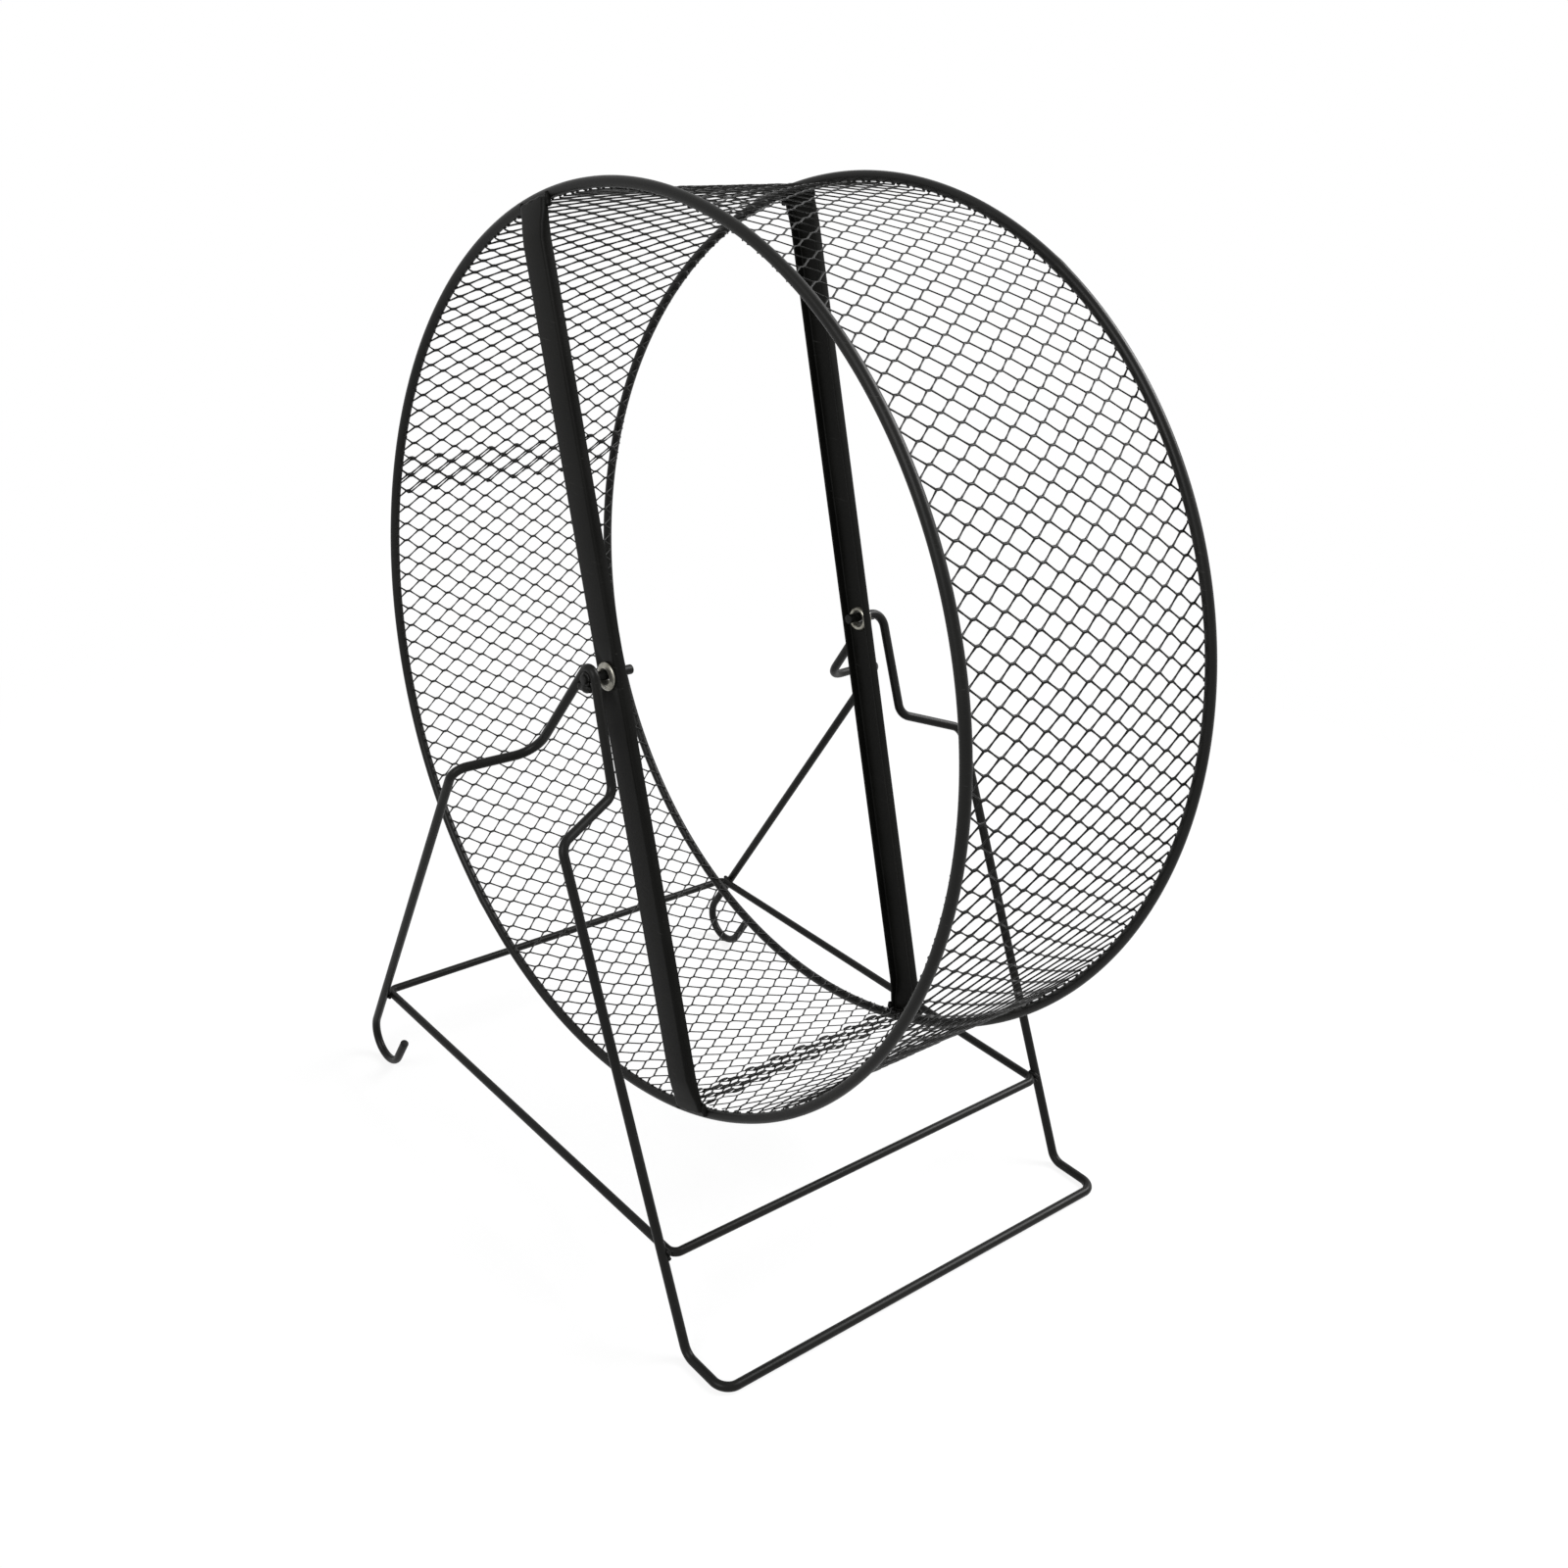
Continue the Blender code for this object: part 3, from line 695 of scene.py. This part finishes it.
def lattice(rows, start, misfits, radius_at):
    """The open surface of a drawn sheet: leaning knots in staggered rows, joined by strands.

    The misfits are those at its first and its last row. The places of its knots, as (row, column, angle,
    distance along Y), come with it.
    """
    corners = knot_corners()
    last_half_row = 2 * rows

    def corner_places(middle, side, lift):
        """Where the corners of a knot are."""
        at = radius_at(middle) + lift
        return [on_wheel(at + lean, middle + up / outer_layer, side + out) for out, up, lean in corners]

    shell = bmesh.new()
    knots = {}
    places = []
    for i in range(last_half_row + 1):
        first_share = ease(1 - i / 2 / MISFIT_ROWS)
        last_share = ease(1 - (rows - i / 2) / MISFIT_ROWS)
        slip, shift = misfits[0] * first_share + misfits[1] * last_share
        for j in range(i % 2, HALF_COLUMNS + 1, 2):
            lift = chance.uniform(-KNOT_LIFT, KNOT_LIFT)
            slip_stray = chance.uniform(-KNOT_STRAY, KNOT_STRAY)
            side_stray = chance.uniform(-KNOT_STRAY, KNOT_STRAY)
            middle = start + i * row_angle / 2 + (slip + slip_stray) / outer_layer
            side = column_width * (j - HALF_COLUMNS / 2) + shift + side_stray
            places.append((i / 2, j, middle, side))
            knot = [shell.verts.new(place) for place in corner_places(middle, side, lift)]
            knots[i, j] = knot
            shell.faces.new(knot[RIGHT_TIP:LEFT_TIP + 1])
            shell.faces.new(knot[LEFT_TIP:] + knot[:1])
            outside = {0: -1, HALF_COLUMNS: 1}.get(j)
            for up in (1, -1):
                if outside and 0 <= i + up <= last_half_row:
                    ahead = corner_places(middle + up * row_angle / 2, side + outside * column_width, lift)
                    cut_strand(shell, knot, ahead, STRANDS[outside, up])
    for (i, j), knot in knots.items():
        for across in (1, -1):
            if (i + 1, j + across) in knots:
                strand(shell, knot, knots[i + 1, j + across], STRANDS[across, 1])
    return shell, places


def drawn_sheet(name, start, rows, overlaps, misfits):
    """A curved sheet and the places of its knots.

    The overlaps and the misfits are those at its first and its last row. A sheet without overlaps is the
    outer one at both seams.
    """
    end = start + rows * row_angle

    def radius_at(angle):
        """The inner sheet of a lap steps out to the rings beside it."""
        if not overlaps:
            return outer_layer
        past_lap = min(angle - start - overlaps[0] * row_angle, end - angle - overlaps[1] * row_angle)
        return inner_layer + (outer_layer - inner_layer) * ease(past_lap / (STEP_ROWS * row_angle))

    shell, places = lattice(rows, start, misfits, radius_at)
    piece = new_piece(name, shell, mesh_black)
    solid = piece.modifiers.new("sheet thickness", "SOLIDIFY")
    solid.thickness = SHEET_THICKNESS
    solid.offset = 0
    return piece, places


short_rows = round((LOWER_SEAM - BACK_SEAM) / row_angle + (BACK_OVERLAP_ROWS + LOWER_OVERLAP_ROWS) / 2)
short_start = BACK_SEAM - BACK_OVERLAP_ROWS / 2 * row_angle
long_start = short_start + (short_rows - LOWER_OVERLAP_ROWS) * row_angle
long_rows = ROWS_PER_TURN - short_rows + LOWER_OVERLAP_ROWS + BACK_OVERLAP_ROWS
long_overlaps = (LOWER_OVERLAP_ROWS, BACK_OVERLAP_ROWS)
knot_places = {}
for title, start, rows, overlaps, misfits in (
    ("short", short_start, short_rows, None, (NO_MISFIT, NO_MISFIT)),
    ("long", long_start, long_rows, long_overlaps, (LOWER_MISFIT, BACK_MISFIT)),
):
    sheet, knot_places[title] = drawn_sheet(f"{title}_drawn_sheet", start, rows, overlaps, misfits)
    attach(sheet, "wheel")
    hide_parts(f"{title}_mesh_sheet")


# Spot welds of the mesh
# Small nuggets where the strands of each edge are fused to the inner flank of the ring, and flat ones on the
# knots of both laps, where the sheets are fused together.

NUGGET_SIZE = Vector((0.6, 0.7, 0.35)) * MM  # round the ring, across it, and towards the axis
BACK_NUGGET_SIZE = Vector((0.5, 1.6, 0.45)) * MM
LOWER_NUGGET_SIZE = Vector((0.8, 2.4, 0.45)) * MM
NUGGET_SHARES = (0.8, 1.2)  # of its size, from the smallest nugget to the largest
NUGGET_SINK = 0.47 * RING_WIRE  # from the ring's centre line towards the axis
NUGGET_INSET = 0.1 * RING_WIRE  # and towards the middle of the drum

nugget_radius = ring_radius - NUGGET_SINK
nugget_out = ring_middle - NUGGET_INSET
nugget_spread = SHEET_MARGIN / column_width * row_angle / 2  # from a knot to the end of its cut strands
between_layers = (outer_layer + inner_layer) / 2


def nugget(shell, radius, turn, out, size):
    """Adds one nugget, a little larger or smaller than the next."""
    facing = Matrix.Rotation(math.pi / 2 - turn, 4, "Y")
    scale = Matrix.Diagonal((*(size * chance.uniform(*NUGGET_SHARES)), 1))
    place = Matrix.Translation(on_wheel(radius, turn, out))
    bmesh.ops.create_icosphere(shell, subdivisions=2, radius=1, matrix=place @ facing @ scale)


for title, side in SIDES:
    shell = bmesh.new()
    for row, column, turn, out in knot_places["short"] + knot_places["long"]:
        if column in (0, HALF_COLUMNS) and side * out > 0:
            for spread in (-nugget_spread, nugget_spread):
                nugget(shell, nugget_radius, turn + spread, side * nugget_out, NUGGET_SIZE)
    nuggets = new_piece(f"{title}_mesh_welds", shell, ring_black)
    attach(nuggets, "wheel")
shell = bmesh.new()
for row, column, turn, out in knot_places["short"]:
    if row < BACK_OVERLAP_ROWS:
        nugget(shell, between_layers, turn, out, BACK_NUGGET_SIZE)
    if row > short_rows - LOWER_OVERLAP_ROWS:
        nugget(shell, between_layers, turn, out, LOWER_NUGGET_SIZE)
for row, column, turn, out in knot_places["long"]:
    if row < LOWER_OVERLAP_ROWS:
        nugget(shell, inner_layer, turn, out, LOWER_NUGGET_SIZE)
seam_nuggets = new_piece("seam_welds", shell, mesh_black)
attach(seam_nuggets, "wheel")


# Crossbars
# Each is a strip of 0.8 mm sheet steel, pressed into a shallow channel whose flanges rest on the ring's side.
# Its ends are splayed almost flat and cut to the ring's round, and its face is pierced for the eyelet.

BAR_SHEET = 0.8 * MM
BAR_BEND = 1.3 * MM  # the outer bend radius
BAR_BEND_STEPS = 6
BAR_SPAN_SHARES = (-1.0, -0.975, -0.95, -0.92, -0.5, -0.08, 0.08, 0.5, 0.92, 0.95, 0.975, 1.0)
BAR_SPLAY_FROM = 0.92  # the share of its reach at which an end starts to splay
BAR_SPLAY_DROP = 1.9 * MM  # how much its face has sunk at the very end
BAR_SPLAY_WIDEN = 0.22  # and how much wider it has become
BAR_EDGE = 0.14 * MM  # the rounding of its cut edges, with its steps and the least angle of such an edge
BAR_EDGE_STEPS = 2
BAR_EDGE_ANGLE = math.radians(50.0)
BAR_CREASE = math.radians(35.0)  # the least angle that isn't shaded smooth
BAR_END_INSET = 2.6 * MM  # from a ring's outer edge to its bar's ends
BAR_GLOSS = 0.06
LEFT_BAR_TILT = math.radians(20.2)
RIGHT_BAR_TILT = math.radians(18.6)
EYELET_BORE = 2.4 * MM  # radii of the eyelet
EYELET_BARREL = 2.9 * MM
EYELET_HEAD = 4.4 * MM
EYELET_LIP = 4.0 * MM
LIP_ROOM = 0.7 * MM  # from the lip to a flange
BAR_WIDTH = 2 * (EYELET_LIP + LIP_ROOM + BAR_SHEET)
PIERCE_STEPS = 72
PIERCE_DEPTH = 6 * BAR_SHEET
BARS = (("left", LEFT, LEFT_BAR_TILT), ("right", RIGHT, RIGHT_BAR_TILT))

bar_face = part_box("right_crossbar")[1].y - hub.y
bar_reach = wheel_radius - BAR_END_INSET

bar_black = satin_black("bar_black", BAR_GLOSS)


def channel(depth_in, flange_x, bend_radius):
    """One skin of the channel's section, as (across, outward) pairs from flange to flange."""
    skin = [(flange_x, ring_side)]
    for n in range(BAR_BEND_STEPS + 1):
        turn = math.pi / 2 * n / BAR_BEND_STEPS
        x = flange_x - bend_radius * (1 - math.cos(turn))
        skin.append((x, bar_face - depth_in - bend_radius * (1 - math.sin(turn))))
    return skin + [(-x, out) for x, out in reversed(skin)]


def bar_ways(tilt):
    """The directions along a tilted bar, upwards, and across it."""
    return Vector((-math.sin(tilt), 0, math.cos(tilt))), Vector((math.cos(tilt), 0, math.sin(tilt)))


def crossbar(name, side, tilt):
    """Lofts the channel from rim to rim, pierces it and rounds its edges."""
    up, across = bar_ways(tilt)
    outer = channel(0, BAR_WIDTH / 2, BAR_BEND)
    inner = channel(BAR_SHEET, BAR_WIDTH / 2 - BAR_SHEET, BAR_BEND - BAR_SHEET)
    section = outer + inner[::-1]
    shell = bmesh.new()
    loops = []
    for share in BAR_SPAN_SHARES:
        loop = []
        splay = ease((abs(share) - BAR_SPLAY_FROM) / (1 - BAR_SPLAY_FROM))
        for x, out in section:
            on_face = min((out - ring_side) / (bar_face - BAR_SHEET - ring_side), 1)
            out -= BAR_SPLAY_DROP * splay * on_face
            x *= 1 + BAR_SPLAY_WIDEN * splay
            along = share * math.sqrt(bar_reach * bar_reach - x * x)
            loop.append(shell.verts.new(hub + up * along + across * x + Vector((0, side * out, 0))))
        loops.append(loop)
    for low, high in zip(loops, loops[1:]):
        for k in range(len(section)):
            shell.faces.new((low[k - 1], low[k], high[k], high[k - 1]))
    last = len(section) - 1
    for loop in (loops[0], loops[-1]):
        for k in range(len(outer) - 1):
            shell.faces.new((loop[k], loop[k + 1], loop[last - k - 1], loop[last - k]))
    bmesh.ops.recalc_face_normals(shell, faces=shell.faces)
    blank = new_piece(name + "_blank", shell, bar_black)

    punch = bmesh.new()
    place = Matrix.Translation(hub + Vector((0, side * bar_face, 0))) @ Matrix.Rotation(math.pi / 2, 4, "X")
    bmesh.ops.create_cone(
        punch, cap_ends=True, segments=PIERCE_STEPS, radius1=EYELET_BARREL, radius2=EYELET_BARREL,
        depth=PIERCE_DEPTH, matrix=place,
    )
    bmesh.ops.recalc_face_normals(punch, faces=punch.faces)
    punch_tool = new_piece(name + "_punch", punch, bar_black)
    cut = blank.modifiers.new("eyelet hole", "BOOLEAN")
    cut.operation = "DIFFERENCE"
    cut.object = punch_tool
    edge = blank.modifiers.new("coated edges", "BEVEL")
    edge.width = BAR_EDGE
    edge.segments = BAR_EDGE_STEPS
    edge.angle_limit = BAR_EDGE_ANGLE
    edge.limit_method = "ANGLE"
    graph = bpy.context.evaluated_depsgraph_get()
    mesh = bpy.data.meshes.new_from_object(blank.evaluated_get(graph))
    mesh.name = name
    for tool in (blank, punch_tool):
        bpy.data.objects.remove(tool)
    mesh.shade_smooth()
    mesh.set_sharp_from_angle(angle=BAR_CREASE)
    piece = bpy.data.objects.new(name, mesh)
    bpy.context.scene.collection.objects.link(piece)
    return piece


for title, side, tilt in BARS:
    bar = crossbar(f"{title}_pressed_bar", side, tilt)
    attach(bar, "wheel")
    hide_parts(f"{title}_crossbar")


# Welds of the crossbars
# At both ends of each bar a full bead runs along the outside of each flange, where it crosses the ring, and
# one across the bar's end. They lie under the paint too.

BAR_BEAD = 1.9 * MM
BAR_BEAD_LENGTH = 4.4 * MM
BAR_BEAD_OFF = 0.1 * BAR_BEAD  # from the flange's outside to the bead's centre line
BAR_BEAD_SINK = 0.05 * BAR_BEAD  # from the ring's side down to it
BAR_BEAD_INSET = 0.55 * RING_WIRE  # from the ring's centre line towards the hub
END_BEAD = 1.8 * MM
END_BEAD_RISE = 0.1 * END_BEAD  # from the ring's side up to its centre line
END_BEAD_STEPS = 28
END_BEAD_RIPPLES = 3

splayed_width = BAR_WIDTH * (1 + BAR_SPLAY_WIDEN)
bar_bead_radius = ring_radius - BAR_BEAD_INSET
bar_bead_side = ring_side - BAR_BEAD_SINK
end_bead_side = ring_side + END_BEAD_RISE

for title, side, tilt in BARS:
    up, across = bar_ways(tilt)
    shell = bmesh.new()
    for end in (-1, 1):
        for flank in (-1, 1):
            x = flank * (splayed_width / 2 + BAR_BEAD_OFF)
            middle = hub + across * x + up * end * bar_bead_radius + Vector((0, side * bar_bead_side, 0))
            line_bead(shell, middle, up * BAR_BEAD_LENGTH, BAR_BEAD)
        route = []
        for n in range(END_BEAD_STEPS + 1):
            x = splayed_width * (n / END_BEAD_STEPS - 0.5)
            along = end * math.sqrt(bar_reach * bar_reach - x * x)
            route.append(hub + across * x + up * along + Vector((0, side * end_bead_side, 0)))
        bead(shell, route, END_BEAD, END_BEAD_RIPPLES)
    bmesh.ops.recalc_face_normals(shell, faces=shell.faces)
    beads = new_piece(f"{title}_bar_welds", shell, bar_black)
    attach(beads, "wheel")


# Eyelets
# Hollow rivets of brass with dull nickel plate, the wheel's only bearings: a rounded head outside the bar, a
# barrel through it and a lip rolled over inside. They are set after painting, so they stay bright.

EYELET_STEPS = 96
HEAD_ROUND = 0.38 * MM
MOUTH_ROUND = 0.45 * MM
ARC_STEPS = 6
EYELET_CREASE = math.radians(60.0)
PLATE_METALLIC = 0.9
PLATE_BRIGHT = (0.33, 0.32, 0.28, 1)
PLATE_DULL = (0.14, 0.135, 0.11, 1)
GRIME = (0.03, 0.028, 0.024, 1)
TOOL_MARKS = 5200.0  # fine rings to the metre of radius
TOOL_MARK_DEPTH = 0.012 * MM
TOOL_MARK_SHARE = 0.7  # of that depth, and grit is the rest
TARNISH = 480.0  # patches to the metre
TARNISH_DULL = (0.4, 0.7)  # where the tarnish starts in its noise, and where it is full
TARNISH_ROUGH = (0.35, 0.7)
BORE_GRIME = 0.35 * MM  # how far the grime reaches out from the bore
BORE_GRIME_SHARE = 0.85
PLATE_ROUGHNESS = 0.26  # and what tarnish and grime add to it
TARNISH_ROUGHNESS = 0.2
GRIME_ROUGHNESS = 0.3

bar_back = bar_face - BAR_SHEET


def arc(radius, height, reach, rise, start, end):
    """Points of a profile round part of an ellipse, with angles in degrees."""
    turns = [math.radians(start + (end - start) * n / ARC_STEPS) for n in range(ARC_STEPS + 1)]
    return [(radius + reach * math.cos(turn), height + rise * math.sin(turn)) for turn in turns]


def eyelet_profile():
    """(radius, height) pairs: up the bore, over the head, down the barrel and round the rolled lip."""
    lip_middle = (EYELET_BORE + EYELET_LIP) / 2
    mouth = arc(EYELET_BORE + MOUTH_ROUND, hub_outside - MOUTH_ROUND, MOUTH_ROUND, MOUTH_ROUND, 180, 90)
    brim = arc(EYELET_HEAD - HEAD_ROUND, bar_face + HEAD_ROUND, HEAD_ROUND, HEAD_ROUND, 60, -90)
    roll = arc(lip_middle, bar_back, EYELET_LIP - lip_middle, bar_back - hub_inside, 0, -180)
    return mouth + brim + [(EYELET_BARREL, bar_face), (EYELET_BARREL, bar_back)] + roll


def nickel_plate():
    """Dull plate with fine turning marks, darker in patches and grimy round the bore."""
    plate = Finish("eyelet_nickel", {"Metallic": PLATE_METALLIC})
    here = plate.add("ShaderNodeTexCoord")["Object"]
    place = plate.add("ShaderNodeSeparateXYZ", None, {"Vector": here})
    x = place["X"]
    z = place["Z"] - hub_height
    radius = x.math("SQRT", x * x + z * z)
    turning = {"W": radius, "Scale": TOOL_MARKS, "Detail": 2.0}
    marks = plate.add("ShaderNodeTexNoise", {"noise_dimensions": "1D"}, turning)
    tarnish = plate.noise(here, TARNISH, detail=3.0)
    grit = plate.noise(here, GRIT, detail=1.0)
    ragged_radius = radius + (grit - 0.5) * BORE_GRIME
    dirt = (1 - ragged_radius.between(EYELET_BORE, EYELET_BORE + BORE_GRIME)) * BORE_GRIME_SHARE
    dull = plate.blend(PLATE_BRIGHT, PLATE_DULL, tarnish.between(*TARNISH_DULL))
    plate.feed("Base Color", plate.blend(dull, GRIME, dirt))
    roughness = PLATE_ROUGHNESS + tarnish.between(*TARNISH_ROUGH) * TARNISH_ROUGHNESS
    plate.feed("Roughness", roughness + dirt * GRIME_ROUGHNESS)
    plate.emboss(marks["Fac"] * TOOL_MARK_SHARE + grit * (1 - TOOL_MARK_SHARE), TOOL_MARK_DEPTH)
    return plate


eyelet_nickel = nickel_plate()
profile = eyelet_profile()
for title, side in SIDES:
    shell = bmesh.new()
    loops = []
    for n in range(EYELET_STEPS):
        turn = 2 * math.pi * n / EYELET_STEPS
        loops.append([shell.verts.new(on_wheel(radius, turn, side * out)) for radius, out in profile])
    for n, loop in enumerate(loops):
        for k in range(len(profile)):
            shell.faces.new((loops[n - 1][k - 1], loops[n - 1][k], loop[k], loop[k - 1]))
    bmesh.ops.recalc_face_normals(shell, faces=shell.faces)
    rivet = new_piece(f"{title}_turned_eyelet", shell, eyelet_nickel)
    rivet.data.set_sharp_from_angle(angle=EYELET_CREASE)
    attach(rivet, "wheel")
    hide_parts(f"{title}_eyelet")


# Floor and background
# A pale sheet that the stand rests on, and white all round. Seen directly or in a reflection, both come out
# white, and the sheet still takes the object's shadow.

FLOOR_HALF = 3.0
FLOOR_WHITE = (0.86, 0.86, 0.86, 1)
FLOOR_ROUGHNESS = 0.9
FLOOR_GLOW_SHARE = 0.84  # of what is seen of the floor under the object
FLOOR_FADE = (0.2, 0.55)  # it goes over into plain white between these distances
AMBIENT = 0.6
PURE_WHITE = (1, 1, 1, 1)


def seen_rays(nodes):
    """1 for what the camera sees, directly or through a reflection, and 0 for the light on things."""
    path = nodes.add("ShaderNodeLightPath")
    return (path["Is Camera Ray"] + path["Is Glossy Ray"] + path["Is Transmission Ray"]).between(0, 1)


floor_finish = Finish("pale_floor", {"Base Color": FLOOR_WHITE, "Roughness": FLOOR_ROUGHNESS})
seen = seen_rays(floor_finish)
place = floor_finish.add("ShaderNodeTexCoord")["Object"]
away = floor_finish.add("ShaderNodeVectorMath", {"operation": "LENGTH"}, {"Vector": place})["Value"]
glow_share = seen * (away.between(*FLOOR_FADE) * (1 - FLOOR_GLOW_SHARE) + FLOOR_GLOW_SHARE)
glow = floor_finish.add("ShaderNodeEmission", None, {"Color": PURE_WHITE})["Emission"]
matte = Signal(floor_finish.tree, floor_finish.shader.outputs["BSDF"])
shaders = {"Fac": glow_share, "Shader": matte, "Shader_001": glow}
mixed = floor_finish.add("ShaderNodeMixShader", None, shaders)
output = floor_finish.tree.nodes["Material Output"]
floor_finish.tree.links.new(mixed["Shader"].socket, output.inputs["Surface"])

shell = bmesh.new()
bmesh.ops.create_grid(shell, x_segments=1, y_segments=1, size=FLOOR_HALF)
floor = new_piece("floor", shell, floor_finish)

world = bpy.data.worlds.new("white_room")
world.use_nodes = True
bpy.context.scene.world = world
background = world.node_tree.nodes["Background"]
background.inputs["Color"].default_value = PURE_WHITE
light = seen_rays(Nodes(world.node_tree)) * (1 - AMBIENT) + AMBIENT
world.node_tree.links.new(light.socket, background.inputs["Strength"])


# Studio light
# A broad soft box on the left gives the near faces their tone, and a second one, high up on the right, draws
# the pale lines along the rings. The white room lights the rest.

KEY_SPOT = (0.25, -1.15, 0.95)
KEY_SIZE = 0.7
KEY_POWER = 10.0
BACK_SPOT = (0.35, 1.15, 1.25)
BACK_SIZE = 0.8
BACK_POWER = 30.0
AIM = Vector((0, 0, 0.16))


def soft_box(name, spot, size, power):
    """A square lamp that faces the wheel."""
    data = bpy.data.lights.new(name, "AREA")
    data.shape = "SQUARE"
    data.size = size
    data.energy = power
    lamp = bpy.data.objects.new(name, data)
    lamp.location = spot
    lamp.rotation_euler = (AIM - Vector(spot)).to_track_quat("-Z", "Y").to_euler()
    bpy.context.scene.collection.objects.link(lamp)


soft_box("key_box", KEY_SPOT, KEY_SIZE, KEY_POWER)
soft_box("back_box", BACK_SPOT, BACK_SIZE, BACK_POWER)


# Camera
# It looks down at the wheel from the front left, at about half a metre. It was placed by fitting the rings,
# the hub and the base loop to the photograph, which was cropped off centre.

PHOTO_SIDE = 1600.0  # pixels, as the next three values are
FOCAL = 1669.5
CENTRE_X, CENTRE_Y = 663.0, 796.7  # what lies straight ahead, from the photograph's upper left corner
AZIMUTH = math.radians(52.05)  # from +Y towards -X
ELEVATION = math.radians(24.95)  # how steeply it looks down
ROLL = math.radians(2.66)
CAMERA_SPOT = (0.3672, -0.3219, 0.3579)
SENSOR = 36.0
NEAREST = 0.01

camera_data = bpy.data.cameras.new("camera")
camera_data.sensor_width = SENSOR
camera_data.lens = SENSOR * FOCAL / PHOTO_SIDE
camera_data.shift_x = (PHOTO_SIDE / 2 - CENTRE_X) / PHOTO_SIDE
camera_data.shift_y = (CENTRE_Y - PHOTO_SIDE / 2) / PHOTO_SIDE
camera_data.clip_start = NEAREST
camera = bpy.data.objects.new("camera", camera_data)
bpy.context.scene.collection.objects.link(camera)
forward = Vector((
    -math.sin(AZIMUTH) * math.cos(ELEVATION),
    math.cos(AZIMUTH) * math.cos(ELEVATION),
    -math.sin(ELEVATION),
))
level = Vector((math.cos(AZIMUTH), math.sin(AZIMUTH), 0))
upright = level.cross(forward)
right = level * math.cos(ROLL) + upright * math.sin(ROLL)
upward = upright * math.cos(ROLL) - level * math.sin(ROLL)
turn = Matrix((right, upward, -forward)).transposed().to_4x4()
camera.matrix_world = Matrix.Translation(CAMERA_SPOT) @ turn
bpy.context.scene.camera = camera
bpy.context.scene.view_settings.view_transform = "Standard"
